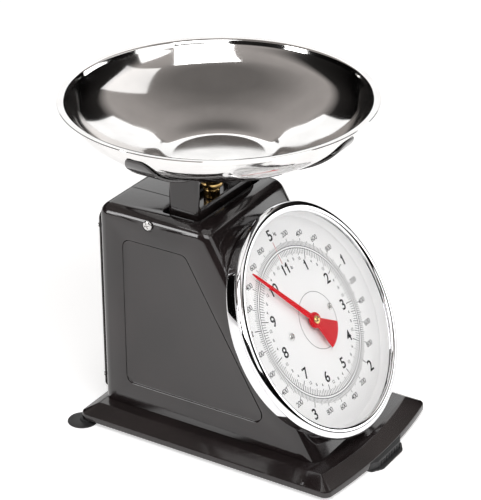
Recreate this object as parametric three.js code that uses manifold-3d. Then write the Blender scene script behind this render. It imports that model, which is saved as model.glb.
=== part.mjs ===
// Mechanical kitchen scale: a steel dish on a four-armed spider, a sliding column guided by parallel
// links, two extension springs, and a rack that turns the pointer of a leaning dial.
//
// Frame: millimetres, +Z up, +X to the right of someone who faces the dial, the dial faces -Y.
// The origin lies on the table, under the middle of the whole scale's bounding box. The rest pose is the
// loaded one: the column is pressed down and the pointer stands at its reading.

import * as THREE from 'three';
import { mergeVertices } from 'three/addons/utils/BufferGeometryUtils.js';
import Module from 'manifold-3d';

const wasm = await Module();
wasm.setup();

// ---------------------------------------------------------------------------------------------
// Driving dimensions, in the scale's own frame: Y = 0 is the dish's axis, Z = 0 the base's lower edge
// ---------------------------------------------------------------------------------------------

const degree = Math.PI / 180;
const gap = 0.3;                // between pieces that rest on or pass through each other

// Dish and its support
const dishRadius = 125;
const dishDepth = 51.1;
const dishFloorRise = 35.9;     // underside of the dish's floor above the casing's top, column pressed down
const dishWall = 1.2;
const dishRimWidth = 5.6;
const armLength = 116;          // from the dish's axis to an arm's tip
const armWidth = 25;
const armThickness = 2.2;
const armTipRadius = 8;
const armScrewSpacing = 44;

// Sliding column
const columnWidth = 84;
const columnDepth = 27;
const columnWall = 1.6;
const columnCentreY = 7.5;
const columnSkirtDrop = 16.4;   // lower edge of the column's tube below the casing's top
const columnRadius = 3;
const windowMargin = 4;         // from the window to the column's sides
const windowSillRise = 6.1;     // above the casing's top
const windowHeadDrop = 5.5;     // below the column's top
const legWidth = 16;
const legReach = 12;            // from the lower links' pins down to the end of a leg
const shelfDrop = 1.2;          // top of the shelf that the knob turns on, below the casing's top
const shelfThickness = 1.8;

// Zero adjustment
const knobFlangeRadius = 9.2;
const knobFlangeHeight = 4;
const knobBodyRadius = 6.6;
const knobBodyHeight = 10.3;
const rodRadius = 2.5;
const rodProud = 1.2;           // how far the rod stands out of the knob
const yokeZ = 78;               // underside of the yoke
const yokeHeight = 4;
const yokeWidth = 52;

// Springs
const springInset = 14;         // from the frame's side plates
const springCoilRadius = 6.5;
const springWire = 0.9;
const springTurns = 9;
const springBarDrop = 48.4;     // underside of the bar below the casing's top
const springBarHeight = 4;
const springBarDepth = 16;

// Casing
const casingWidth = 118.6;
const casingTopZ = 188.4;
const casingSetback = 9.5;      // of the casing's back within the base's back edge
const casingWall = 2;
const casingEdgeRadius = 5;
const casingCornerRadius = 8;
const panelRecess = 0.9;
const topOpeningGap = 4;        // round the column
const backOpeningWidth = 100;
const backOpeningRise = 9.6;    // above the base's top
const backOpeningDrop = 14.4;   // below the casing's top
const coverOverlap = 4;
const coverThickness = 1.5;

// Base
const baseWidth = 162.6;
const baseBackY = 87;
const baseBow = 7.6;            // how far the front edge bulges past its corners
const baseLipHeight = 5.7;
const baseTopZ = 12.4;
const baseFlare = 12.3;
const baseWall = 1.5;
const baseCornerRadius = 7;

// Feet
const footLift = 3.2;           // how far the feet hold the base's lower edge off the table
const footRadius = 12.5;
const footInset = 2.3;          // from the base's side in to the middle of a rear foot
const footRimThickness = 1.2;
const footNeckRadius = 5.5;
const footStemRadius = 3;
const footStemInset = 8;        // from the lobe's middle in to the stem, along X and Y
const frontFootWidth = 50;
const frontFootDepth = 30;
const frontFootReach = 6.5;     // past the base's front edge
const frontFootHeight = 7.6;
const frontFootFlange = 3.6;
const frontFootFlangeHeight = 1.4;

// Dial
const dialTilt = 30.1 * degree; // the dial leans back from the vertical
const topFrontage = 17.3;       // level top of the casing ahead of the column
const dialFront = 51.9;         // bezel's centre behind the base's front corners
const dialRise = 11;            // bezel's lower edge above the base's top
const bezelRadius = 96.3;
const bezelWidth = 9;
const bezelDepth = 7;
const drumSetback = 5.7;        // of the drum's side within the bezel's edge
const drumDepth = 20.5;
const drumWall = 1.2;
const dialPlateDepth = 12.6;    // face of the dial plate behind the bezel's front
const dialPlateThickness = 0.8;
const lensThickness = 1.6;
const lensCrown = 1.4;
const dialScrewSpacing = 59;
const arborHoleRadius = 4;

// Movement: depths are measured behind the bezel's front face
const movementPlateDepth = 24;
const movementPlateThickness = 2;
const movementPlateWidth = 74;
const movementPlateHeight = 84;
const bridgeDepth = 50;
const bridgeThickness = 2;
const bridgeInset = 22;         // how much less the bridge spans than the frame's inner width
const bridgeHeight = 16;
const arborRadius = 1.2;
const arborFrontDepth = 5.4;
const arborBackDepth = 53.5;
const bushRadius = 3.5;
const gearModule = 0.5;
const gearTeeth = 8;
const gearShift = 0.5;          // profile shift, in modules
const gearWidth = 6;
const gearDepth = 40;           // front face of the drive gear
const rackWidth = 5;
const rackDepth = 40.5;
const rackBackX = 7.4;
const rackTeeth = 13;
const rackHeadReach = 50;       // from the arbor to the drive pin, along the rack
const drivePinDepth = 45;
const drivePinRadius = 1.5;
const toothPlay = 0.03;         // taken off each flank

// Pointer
const pointerReading = 323.5 * degree;  // clockwise from zero
const pointerDepth = 7.2;
const pointerSetback = 11.8;    // of the pointer's tip within the bezel's inner edge
const pointerTailLength = 27;
const pointerTailSpread = 27 * degree;
const pointerHubRadius = 6.4;
const pointerThickness = 0.6;

// Frame, links and pins
const frameSideSetback = 9;     // of the frame's side plates within the column's walls
const frameWall = 2;
const frameSetback = 7.5;       // within the casing's back
const frameShoulderDrop = 38.4; // below the casing's top
const frameTopDrop = 4.1;       // below the casing's top
const frameFootBackY = 60;
const frameFootSetback = 24.7;  // front end of the frame's foot behind the bezel's centre
const linkLength = 54.5;
const linkThickness = 2;
const linkHalfHeight = 6;
const upperLinkDrop = 28.4;     // the upper links' column pins below the casing's top
const linkSpacing = 98;         // from the upper links down to the lower ones
const linkDroop = 6.4 * degree; // the links lean down towards the column in the rest pose
const pivotRodRadius = 3;
const columnPinRadius = 2.5;
const slotPlay = 1;             // the links' front holes are slots this much longer each way

// Sizes that follow from the ones above
const dishBottomZ = casingTopZ + dishFloorRise;
const dishRimZ = dishBottomZ + dishDepth;
const columnTopZ = dishBottomZ - 2 * gap - armThickness;
const columnSkirtZ = casingTopZ - columnSkirtDrop;
const windowWidth = columnWidth - 2 * windowMargin;
const windowBottomZ = casingTopZ + windowSillRise;
const windowTopZ = columnTopZ - windowHeadDrop;
const shelfZ = casingTopZ - shelfDrop;
const rodTopZ = shelfZ + gap + knobBodyHeight + knobFlangeHeight + rodProud;
const springBarZ = casingTopZ - springBarDrop;
const casingBackY = baseBackY - casingSetback;
const backOpeningBottomZ = baseTopZ + backOpeningRise;
const backOpeningTopZ = casingTopZ - backOpeningDrop;
const footX = baseWidth / 2 - footInset;
const footY = baseBackY - 2;
const bezelInnerRadius = bezelRadius - bezelWidth;
const drumRadius = bezelRadius - drumSetback;
const frameInnerWidth = columnWidth - 2 * (frameSideSetback + frameWall);
const pointerLength = bezelInnerRadius - pointerSetback;
const dialZ = baseTopZ + dialRise + bezelRadius * Math.cos(dialTilt);
const casingSlopeDepth = drumDepth + gap;
const columnFrontY = columnCentreY - columnDepth / 2;
const columnBackY = columnCentreY + columnDepth / 2;
const dialY = columnFrontY - topFrontage - Math.cos(dialTilt) * casingSlopeDepth
  - Math.tan(dialTilt) * (casingTopZ - dialZ + Math.sin(dialTilt) * casingSlopeDepth);
const baseFrontY = dialY - dialFront;   // at the corners
const frameFootFrontY = dialY + frameFootSetback;
const springX = frameInnerWidth / 2 - springInset;
const bridgeSpan = frameInnerWidth - bridgeInset;
const frameBackY = casingBackY - frameSetback;
const frameShoulderZ = casingTopZ - frameShoulderDrop;
const frameTopZ = casingTopZ - frameTopDrop;
const linkPivotY = columnCentreY + linkLength;
const upperLinkZ = casingTopZ - upperLinkDrop;
const lowerLinkZ = upperLinkZ - linkSpacing;
const legBottomZ = lowerLinkZ - legReach;

// ---------------------------------------------------------------------------------------------
// Materials
// ---------------------------------------------------------------------------------------------

function finish(color, roughness, metalness) {
  return new THREE.MeshStandardMaterial({ color, roughness, metalness });
}

const blackEnamel = finish(0x0c0b0d, 0.12, 0.0);
const polishedSteel = finish(0xd9d7d4, 0.08, 1.0);
const chrome = finish(0xdfe1e4, 0.06, 1.0);
const brass = finish(0xd9a860, 0.2, 1.0);
const zincSteel = finish(0x9b9da0, 0.4, 1.0);
const springSteel = finish(0x77797d, 0.35, 1.0);
const dialWhite = finish(0xf4f3f1, 0.5, 0.0);
const pointerRed = finish(0xd8131f, 0.4, 0.0);
const blackRubber = finish(0x1a1a1c, 0.75, 0.0);
const whitePlastic = finish(0xeeeeec, 0.45, 0.0);
const clearLens = finish(0xf2f6f7, 0.05, 0.0);
clearLens.transparent = true;
clearLens.opacity = 0.25;

// ---------------------------------------------------------------------------------------------
// Solids: closed meshes, and cutting and joining them
// ---------------------------------------------------------------------------------------------

// A geometry's corners merged and its empty triangles dropped, facing outwards.
function closed(geometry) {
  const bare = geometry.clone();
  bare.deleteAttribute('normal');
  bare.deleteAttribute('uv');
  const merged = mergeVertices(bare, 1e-4);
  const corner = merged.index.array;
  const point = merged.attributes.position.array;
  const kept = [];
  let volume = 0;
  for (let i = 0; i < corner.length; i += 3) {
    const [a, b, c] = [corner[i], corner[i + 1], corner[i + 2]];
    if (a === b || b === c || c === a) continue;
    kept.push(a, b, c);
    const [p, q, r] = [a, b, c].map((k) => new THREE.Vector3().fromArray(point, 3 * k));
    volume += p.dot(q.cross(r));
  }
  if (volume < 0) kept.reverse();
  const result = new THREE.BufferGeometry();
  result.setAttribute('position', new THREE.Float32BufferAttribute(Array.from(point), 3));
  result.setIndex(kept);
  return result;
}

function toSolid(geometry) {
  const mesh = closed(geometry);
  return new wasm.Manifold(new wasm.Mesh({
    numProp: 3,
    vertProperties: new Float32Array(mesh.attributes.position.array),
    triVerts: new Uint32Array(mesh.index.array),
  }));
}

function fromSolid(solid) {
  const mesh = solid.getMesh();
  const geometry = new THREE.BufferGeometry();
  geometry.setAttribute('position', new THREE.Float32BufferAttribute(Array.from(mesh.vertProperties), 3));
  geometry.setIndex(Array.from(mesh.triVerts));
  return geometry;
}

function combine(first, others, operation) {
  let solid = toSolid(first);
  for (const other of others) solid = solid[operation](toSolid(other));
  return fromSolid(solid);
}

const cut = (body, ...tools) => combine(body, tools, 'subtract');
const join = (body, ...others) => combine(body, others, 'add');
const common = (body, ...others) => combine(body, others, 'intersect');

function box(x0, x1, y0, y1, z0, z1) {
  const block = new THREE.BoxGeometry(x1 - x0, y1 - y0, z1 - z0);
  return block.translate((x0 + x1) / 2, (y0 + y1) / 2, (z0 + z1) / 2);
}

// A round bar from one height to another, standing on Z.
function post(radius, z0, z1, x = 0, y = 0, sides = 14) {
  const bar = new THREE.CylinderGeometry(radius, radius, z1 - z0, sides);
  return bar.rotateX(Math.PI / 2).translate(x, y, (z0 + z1) / 2);
}

// A round bar that lies along X.
function crossBar(radius, x0, x1, y, z, sides = 12) {
  const bar = new THREE.CylinderGeometry(radius, radius, x1 - x0, sides);
  return bar.rotateZ(Math.PI / 2).translate((x0 + x1) / 2, y, z);
}

// A round bar that lies along Y.
function lengthBar(radius, y0, y1, x, z, sides = 12) {
  return new THREE.CylinderGeometry(radius, radius, y1 - y0, sides).translate(x, (y0 + y1) / 2, z);
}

// A body turned about Z from [radius, height] corners that start and end on the axis or form a ring.
function turned(corners, sides = 32) {
  const profile = corners.map(([radius, height]) => new THREE.Vector2(radius, height));
  const first = profile[0];
  const last = profile[profile.length - 1];
  if (first.x > 0 || last.x > 0) profile.push(first.clone());
  return closed(new THREE.LatheGeometry(profile, sides)).rotateX(Math.PI / 2);
}

function slab(shape, z0, z1, curveSegments = 8) {
  const plate = new THREE.ExtrudeGeometry(shape, { depth: z1 - z0, bevelEnabled: false, curveSegments });
  return plate.translate(0, 0, z0);
}

// Turns a shape drawn in (Y, Z) and extruded along its own normal so that it lies along X.
const sideways = new THREE.Matrix4().makeBasis(
  new THREE.Vector3(0, 1, 0),
  new THREE.Vector3(0, 0, 1),
  new THREE.Vector3(1, 0, 0),
);

function sidePlate(shape, x0, x1, curveSegments = 8) {
  const plate = new THREE.ExtrudeGeometry(shape, { depth: x1 - x0, bevelEnabled: false, curveSegments });
  return plate.applyMatrix4(sideways).translate(x0, 0, 0);
}

// A closed outline through corners, each rounded to its own radius.
function rounded(corners) {
  const shape = new THREE.Shape();
  const count = corners.length;
  corners.forEach(([x, y, radius = 0], i) => {
    const here = new THREE.Vector2(x, y);
    const before = new THREE.Vector2(...corners[(i + count - 1) % count]);
    const after = new THREE.Vector2(...corners[(i + 1) % count]);
    const arrive = before.sub(here).normalize();
    const leave = after.sub(here).normalize();
    const trim = radius / Math.tan(Math.acos(arrive.dot(leave)) / 2);
    const start = here.clone().addScaledVector(arrive, trim);
    const end = here.clone().addScaledVector(leave, trim);
    if (i === 0) shape.moveTo(start.x, start.y);
    else shape.lineTo(start.x, start.y);
    if (radius > 0) shape.quadraticCurveTo(here.x, here.y, end.x, end.y);
  });
  shape.closePath();
  return shape;
}

function roundedBox(x0, x1, y0, y1, radius) {
  return rounded([[x0, y0, radius], [x1, y0, radius], [x1, y1, radius], [x0, y1, radius]]);
}

function disc(radius) {
  return new THREE.Shape().absarc(0, 0, radius, 0, 2 * Math.PI, false);
}

// ---------------------------------------------------------------------------------------------
// Assembly: one group for the scale and one, leaning back, for the dial and its movement
// ---------------------------------------------------------------------------------------------

const frontmostY = baseFrontY - baseBow - frontFootReach;
const scale = new THREE.Group();
scale.position.set(0, -(dishRadius + frontmostY) / 2, footLift);

// In this group Z points out of the dial, Y runs up the dial and Z = 0 is the bezel's front face.
const dialGroup = new THREE.Group();
dialGroup.position.set(0, dialY, dialZ);
dialGroup.rotation.x = Math.PI / 2 - dialTilt;
dialGroup.updateMatrix();
scale.add(dialGroup);

function place(parent, name, geometry, material) {
  const mesh = new THREE.Mesh(closed(geometry), material);
  mesh.name = name;
  parent.add(mesh);
  return mesh;
}

// Y on a plane that lies a given depth behind the bezel's front face, at a given height.
function slopeY(depth, z) {
  const along = (z - dialZ + Math.sin(dialTilt) * depth) / Math.cos(dialTilt);
  return dialY + Math.cos(dialTilt) * depth + Math.sin(dialTilt) * along;
}

// A geometry drawn in the dial's group, moved into the scale's frame.
function fromDial(geometry) {
  return geometry.clone().applyMatrix4(dialGroup.matrix);
}

// A pan-head screw: shank down -Z from its seat at Z = 0, head above it.
function panScrew(headRadius, headHeight, shankRadius, shankLength) {
  return turned([
    [0, -shankLength], [shankRadius, -shankLength], [shankRadius, 0], [headRadius, 0],
    [headRadius, headHeight * 0.45], [headRadius * 0.7, headHeight * 0.9], [0, headHeight],
  ], 10);
}

// Two crossed slots for the head of a pan-head screw.
function screwCross(headRadius, headHeight) {
  const reach = headRadius * 0.6;
  const half = headRadius * 0.13;
  const bottom = headHeight * 0.35;
  return [
    box(-reach, reach, -half, half, bottom, headHeight + 1),
    box(-half, half, -reach, reach, bottom, headHeight + 1),
  ];
}

function crossScrew(headRadius, headHeight, shankRadius, shankLength) {
  return cut(panScrew(headRadius, headHeight, shankRadius, shankLength), ...screwCross(headRadius, headHeight));
}

// ---------------------------------------------------------------------------------------------
// Base and feet
// ---------------------------------------------------------------------------------------------

// The base's plan outline, drawn in by an inset: straight sides and back, a front edge that bulges.
function baseOutline(inset, cornerRadius) {
  const halfWidth = baseWidth / 2 - inset;
  const front = baseFrontY + inset;
  const back = baseBackY - inset;
  const shape = new THREE.Shape();
  shape.moveTo(-halfWidth, back - cornerRadius);
  shape.lineTo(-halfWidth, front + cornerRadius);
  shape.quadraticCurveTo(-halfWidth, front, -halfWidth + cornerRadius, front - baseBow * 0.15);
  shape.quadraticCurveTo(0, front - 1.85 * baseBow, halfWidth - cornerRadius, front - baseBow * 0.15);
  shape.quadraticCurveTo(halfWidth, front, halfWidth, front + cornerRadius);
  shape.lineTo(halfWidth, back - cornerRadius);
  shape.quadraticCurveTo(halfWidth, back, halfWidth - cornerRadius, back);
  shape.lineTo(-halfWidth + cornerRadius, back);
  shape.quadraticCurveTo(-halfWidth, back, -halfWidth, back - cornerRadius);
  return shape;
}

// The base's filled form, drawn in by an inset: a lip with rounded corners under a sloping flare.
function baseForm(inset, topZ, bottomZ) {
  const flareTop = baseOutline(inset + baseFlare, 0.5);
  const flareHeight = baseTopZ - baseLipHeight;
  const lipTop = topZ - flareHeight;
  const flared = new THREE.ExtrudeGeometry(flareTop, {
    depth: lipTop - bottomZ + flareHeight,
    bevelEnabled: true,
    bevelSegments: 1,
    bevelSize: baseFlare,
    bevelThickness: flareHeight,
    curveSegments: 5,
  });
  flared.translate(0, 0, bottomZ - flareHeight);
  const lip = slab(baseOutline(inset, baseCornerRadius), bottomZ, topZ + 1, 5);
  return common(flared, lip);
}

const footFlangeZ = 2.2;        // underside of the inner flanges that hold the rear feet
const footFlangeThickness = 1.5;

function addBase() {
  const shell = cut(
    baseForm(0, baseTopZ, 0),
    baseForm(baseWall, baseTopZ - baseWall, -20),
  );
  const flangeTop = footFlangeZ + footFlangeThickness;
  const flangeBack = baseBackY - baseWall / 2;
  const flangeSide = baseWidth / 2 - baseWall / 2;
  const flangeReach = 2 * footStemInset + 8;
  const rearFlange = (side) => sideBox(side, flangeSide - flangeReach, flangeSide,
    flangeBack - flangeReach, flangeBack, footFlangeZ, flangeTop);
  const frontInnerY = baseFrontY - baseBow + baseWall / 2;
  const frontHalf = frontFootWidth / 2;
  const frontFootTop = frontFootHeight - footLift;
  const frontFlange = box(-frontHalf - 6, frontHalf + 6, frontInnerY + 1, frontInnerY + 25,
    frontFootTop + gap, frontFootTop + gap + footFlangeThickness);
  const within = baseForm(baseWall / 2, baseTopZ - baseWall / 2, 0);
  let plate = join(
    shell,
    common(rearFlange(-1), within),
    common(rearFlange(1), within),
    common(frontFlange, within),
  );
  plate = cut(
    plate,
    post(footStemRadius + gap, 0, 8, footStemInset - footX, footY - footStemInset),
    post(footStemRadius + gap, 0, 8, footX - footStemInset, footY - footStemInset),
    box(-frontHalf - gap, frontHalf + gap, frontmostY - 1, frontInnerY + 6, -1, frontFootTop + gap),
    ...frontPegX.map((x) => post(footStemRadius + gap, 0, 8, x, frontPegY)),
    ...frameScrewY.map((y) => post(frameScrewRadius + gap, 0, baseTopZ + 1, 0, y)),
  );
  place(scale, 'base_plate', plate, blackEnamel);
}

// A box on one side of the middle plane, its X limits measured outwards from it.
function sideBox(side, inner, outer, y0, y1, z0, z1) {
  return side < 0 ? box(-outer, -inner, y0, y1, z0, z1) : box(inner, outer, y0, y1, z0, z1);
}

const frontPegX = [-14, 14];
const frontPegY = baseFrontY - baseBow + 14;

// A round rubber lobe that stands out past the corner, with a plug behind it that holds in the base.
function addRearFoot(name, side) {
  const table = -footLift;
  const rim = table + footRimThickness;
  const lobe = turned([
    [0, table + 0.6], [footRadius - 3, table + 0.4], [footRadius - 2, table], [footRadius - 0.4, table],
    [footRadius, table + 0.5], [footRadius - 0.8, rim], [0, rim + 0.4],
  ], 24).translate(side * footX, footY, 0);
  const stemX = side * (footX - footStemInset);
  const stemY = footY - footStemInset;
  const neck = post(footNeckRadius, table + 0.8, -gap, side * (footX - 2.5), footY - 2.5, 16);
  const top = footFlangeZ + footFlangeThickness + gap;
  const plug = turned([
    [0, table + 0.8], [footStemRadius + 1.5, table + 0.8], [footStemRadius + 1.5, footFlangeZ - gap],
    [footStemRadius, footFlangeZ - gap], [footStemRadius, top], [footStemRadius + 1, top],
    [footStemRadius + 0.3, top + 1.2], [0, top + 1.5],
  ], 14).translate(stemX, stemY, 0);
  place(scale, name, join(lobe, neck, plug), blackRubber);
}

function addFrontFoot() {
  const front = frontmostY;
  const half = frontFootWidth / 2;
  const back = front + frontFootDepth;
  const table = -footLift;
  const top = table + frontFootHeight;
  const face = front + frontFootFlange;
  const body = slab(rounded([
    [-half, back, 2], [-half, face + 4, 2], [-half + 7, face, 4],
    [half - 7, face, 4], [half, face + 4, 2], [half, back, 2],
  ]), table, top, 3);
  const flange = slab(rounded([
    [-half, back, 2], [-half, front + 6, 2], [-half + 9, front, 5],
    [half - 9, front, 5], [half, front + 6, 2], [half, back, 2],
  ]), table, table + frontFootFlangeHeight, 3);
  const ribs = [];
  const ribPitch = 4.2;
  for (let x = -half + 8; x <= half - 8; x += ribPitch) {
    ribs.push(box(x - 0.6, x + 0.6, face - 0.6, face + 1, table + frontFootFlangeHeight - 0.5, top - 2));
  }
  const holeTop = top + footFlangeThickness + 2 * gap;
  const pegs = frontPegX.map((x) => turned([
    [0, top - 1], [footStemRadius, top - 1], [footStemRadius, holeTop],
    [footStemRadius + 1.2, holeTop], [footStemRadius + 0.4, holeTop + 1.4], [0, holeTop + 1.7],
  ], 10).translate(x, frontPegY, 0));
  place(scale, 'front_foot', join(body, flange, ...ribs, ...pegs), blackRubber);
}

// ---------------------------------------------------------------------------------------------
// Casing
// ---------------------------------------------------------------------------------------------

const casingUnderZ = baseTopZ + gap;

// Side view of the casing, drawn in by an inset, open past its lower edge.
function casingProfile(inset) {
  const top = casingTopZ - inset;
  const back = casingBackY - inset;
  const depth = casingSlopeDepth + inset;
  const low = casingUnderZ - 20;
  const radius = casingCornerRadius - inset;
  return rounded([
    [slopeY(depth, low), low], [back, low], [back, top, radius], [slopeY(depth, top), top, radius + 4],
  ]);
}

// The casing's filled form, drawn in by an inset, with its side edges rounded.
function casingForm(inset) {
  const radius = casingEdgeRadius - inset;
  const width = casingWidth - 2 * inset;
  const form = new THREE.ExtrudeGeometry(casingProfile(inset), {
    depth: width - 2 * radius,
    bevelEnabled: true,
    bevelSegments: 2,
    bevelSize: radius,
    bevelThickness: radius,
    bevelOffset: -radius,
    curveSegments: 3,
  });
  return form.applyMatrix4(sideways).translate(-width / 2 + radius, 0, 0);
}

// The pressed field on each side wall follows the casing's outline at its own margins.
const panelTopZ = casingTopZ - 25.4;
const panelBottomZ = baseTopZ + 21.6;
const panelBackMargin = 24;
const panelSlopeDepth = casingSlopeDepth + 29;
const panelRadius = 7;

function panelCutter(side) {
  const back = casingBackY - panelBackMargin;
  const outline = rounded([
    [slopeY(panelSlopeDepth, panelBottomZ), panelBottomZ, panelRadius],
    [back, panelBottomZ, panelRadius],
    [back, panelTopZ, panelRadius],
    [slopeY(panelSlopeDepth, panelTopZ), panelTopZ, panelRadius],
  ]);
  const wall = casingWidth / 2;
  return side < 0 ? sidePlate(outline, -wall - 1, -wall + panelRecess, 3)
    : sidePlate(outline, wall - panelRecess, wall + 1, 3);
}

const sideScrewY = 28.5;
const sideScrewZ = casingTopZ - 7.2;
const sideScrewRadius = 3.6;
const dialOpeningRadius = 34;

function addCasing() {
  const openingHalf = columnWidth / 2 + topOpeningGap;
  const opening = slab(
    roundedBox(-openingHalf, openingHalf, columnFrontY - topOpeningGap, columnBackY + topOpeningGap, 4),
    casingTopZ - 10, casingTopZ + 10, 3,
  );
  const backOpening = box(-backOpeningWidth / 2, backOpeningWidth / 2, casingBackY - 5, casingBackY + 5,
    backOpeningBottomZ, backOpeningTopZ);
  const dialOpening = fromDial(post(dialOpeningRadius, -drumDepth - 20, -drumDepth + 5, 0, 0, 24));
  const shell = cut(
    casingForm(0),
    casingForm(casingWall),
    box(-200, 200, -300, 300, -100, casingUnderZ),
    opening,
    backOpening,
    dialOpening,
    panelCutter(-1),
    panelCutter(1),
    crossBar(1.8, -casingWidth, casingWidth, sideScrewY, sideScrewZ, 14),
    ...coverScrewSpots.map(([x, z]) => lengthBar(1.5, casingBackY - 6, casingBackY + 6, x, z, 12)),
  );
  place(scale, 'casing_shell', shell, blackEnamel);
}

const coverWidth = backOpeningWidth + 2 * coverOverlap;
const coverBottomZ = backOpeningBottomZ - coverOverlap;
const coverTopZ = backOpeningTopZ + coverOverlap;
const coverScrewInset = 2.1;
const coverScrewSpots = [-1, 1].flatMap((side) => [
  [side * (coverWidth / 2 - coverScrewInset), coverBottomZ + coverScrewInset + 10],
  [side * (coverWidth / 2 - coverScrewInset), coverTopZ - coverScrewInset - 10],
]);

function addRearCover() {
  const face = casingBackY + gap;
  const outline = roundedBox(-coverWidth / 2, coverWidth / 2, coverBottomZ, coverTopZ, 6);
  const plate = slab(outline, 0, coverThickness, 4).rotateX(Math.PI / 2).translate(0, face + coverThickness, 0);
  const holes = coverScrewSpots.map(([x, z]) => lengthBar(1.5, face - 5, face + 5, x, z, 12));
  place(scale, 'rear_cover', cut(plate, ...holes), blackEnamel);
  coverScrewSpots.forEach(([x, z], i) => {
    const screw = place(scale, `rear_cover_screw_${i + 1}`, crossScrew(2.2, 1.5, 1.1, 5), zincSteel);
    screw.rotation.x = -Math.PI / 2;
    screw.position.set(x, face + coverThickness + gap, z);
  });
}

function addSideScrew(name, side) {
  const screw = place(scale, name, crossScrew(sideScrewRadius, 1.9, 1.4, 5), chrome);
  screw.rotation.y = side * Math.PI / 2;
  screw.position.set(side * (casingWidth / 2 + gap), sideScrewY, sideScrewZ);
}

// ---------------------------------------------------------------------------------------------
// Frame inside the casing
// ---------------------------------------------------------------------------------------------

const frameOuterHalf = frameInnerWidth / 2 + frameWall;
const frameFootZ = baseTopZ + gap;
const frameScrewY = [frameFootFrontY + 15, frameFootBackY - 15];
const frameScrewRadius = 2;
const movementBackDepth = movementPlateDepth + movementPlateThickness;

function linkPivotZ(columnPinZ) {
  return columnPinZ + linkLength * Math.sin(linkDroop);
}

function framePlateShape() {
  const frontDepth = movementBackDepth + gap;
  const bottom = frameFootZ;
  const shoulder = frameShoulderZ;
  return rounded([
    [slopeY(frontDepth, bottom), bottom], [frameBackY, bottom], [frameBackY, frameTopZ, 4],
    [columnBackY + topOpeningGap, frameTopZ, 2], [columnBackY + topOpeningGap, shoulder, 3],
    [slopeY(frontDepth, shoulder), shoulder, 4],
  ]);
}

function addFrame() {
  const inner = frameInnerWidth / 2;
  const sides = [-1, 1].map((side) => (side < 0
    ? sidePlate(framePlateShape(), -frameOuterHalf, -inner, 3)
    : sidePlate(framePlateShape(), inner, frameOuterHalf, 3)));
  const foot = box(-inner - 1, inner + 1, frameFootFrontY, frameFootBackY, frameFootZ, frameFootZ + frameWall);
  const barSlot = box(-frameOuterHalf - 1, frameOuterHalf + 1,
    columnCentreY - springBarDepth / 2 - gap, columnCentreY + springBarDepth / 2 + gap,
    springBarZ - gap, springBarZ + springBarHeight + gap);
  const windowShape = rounded([
    [slopeY(movementBackDepth + 22, 34), 34, 6], [44, 34, 6], [44, 128, 6],
    [slopeY(movementBackDepth + 22, 128), 128, 6],
  ]);
  const frame = cut(
    join(foot, ...sides),
    barSlot,
    sidePlate(windowShape, -frameOuterHalf - 1, frameOuterHalf + 1, 3),
    crossBar(pivotRodRadius + gap, -60, 60, linkPivotY, linkPivotZ(upperLinkZ)),
    crossBar(pivotRodRadius + gap, -60, 60, linkPivotY, linkPivotZ(lowerLinkZ)),
    ...frameScrewY.map((y) => post(frameScrewRadius + gap, 0, 30, 0, y)),
  );
  place(scale, 'frame', frame, zincSteel);
  frameScrewY.forEach((y, i) => {
    const screw = place(scale, `frame_screw_${i + 1}`, crossScrew(4.2, 2.4, frameScrewRadius, 9), zincSteel);
    screw.position.set(0, y, frameFootZ + frameWall + gap);
  });
}

// A strap over the frame whose turned-down ends take the two side screws.
function addCasingStrap() {
  const reach = casingWidth / 2 - casingWall - gap;
  const thickness = 1.5;
  const halfDepth = 4;
  const zTop = casingTopZ - casingWall - gap;
  const strap = join(
    box(-reach + 4, reach - 4, sideScrewY - 2, sideScrewY + halfDepth, frameTopZ + gap, zTop),
    box(-reach, -reach + thickness, sideScrewY - 2.5, sideScrewY + halfDepth, sideScrewZ - 6, zTop - 4),
    box(reach - thickness, reach, sideScrewY - 2.5, sideScrewY + halfDepth, sideScrewZ - 6, zTop - 4),
    box(-reach, -reach + 7, sideScrewY - 2.5, sideScrewY + halfDepth, zTop - 5.2, zTop - 4),
    box(reach - 7, reach, sideScrewY - 2.5, sideScrewY + halfDepth, zTop - 5.2, zTop - 4),
    box(-reach + 5.5, -reach + 7, sideScrewY - 2, sideScrewY + halfDepth, zTop - 5.2, zTop),
    box(reach - 7, reach - 5.5, sideScrewY - 2, sideScrewY + halfDepth, zTop - 5.2, zTop),
  );
  place(scale, 'casing_strap', cut(strap, crossBar(1.4 + gap, -100, 100, sideScrewY, sideScrewZ, 14)), zincSteel);
}

// ---------------------------------------------------------------------------------------------
// Links between the frame and the column
// ---------------------------------------------------------------------------------------------

function addLink(name, side, columnPinZ) {
  const pivotZ = linkPivotZ(columnPinZ);
  const frontY = columnCentreY;
  const start = new THREE.Vector2(linkPivotY, pivotZ);
  const end = new THREE.Vector2(frontY, columnPinZ);
  const along = end.clone().sub(start).normalize();
  const angle = Math.atan2(along.y, along.x);
  const shape = new THREE.Shape();
  shape.absarc(end.x, end.y, linkHalfHeight, angle - Math.PI / 2, angle + Math.PI / 2, false);
  shape.absarc(start.x, start.y, linkHalfHeight, angle + Math.PI / 2, angle + 1.5 * Math.PI, false);
  shape.closePath();
  const slot = new THREE.Shape();
  const slotRadius = columnPinRadius + gap;
  slot.absarc(end.x + slotPlay * along.x, end.y + slotPlay * along.y, slotRadius,
    angle - Math.PI / 2, angle + Math.PI / 2, false);
  slot.absarc(end.x - slotPlay * along.x, end.y - slotPlay * along.y, slotRadius,
    angle + Math.PI / 2, angle + 1.5 * Math.PI, false);
  slot.closePath();
  const inner = frameOuterHalf + 0.4;
  const x0 = side < 0 ? -inner - linkThickness : inner;
  const plate = cut(
    sidePlate(shape, x0, x0 + linkThickness, 5),
    sidePlate(slot, -100, 100, 5),
    crossBar(pivotRodRadius + gap, -100, 100, linkPivotY, pivotZ),
  );
  place(scale, name, plate, zincSteel);
}

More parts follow.
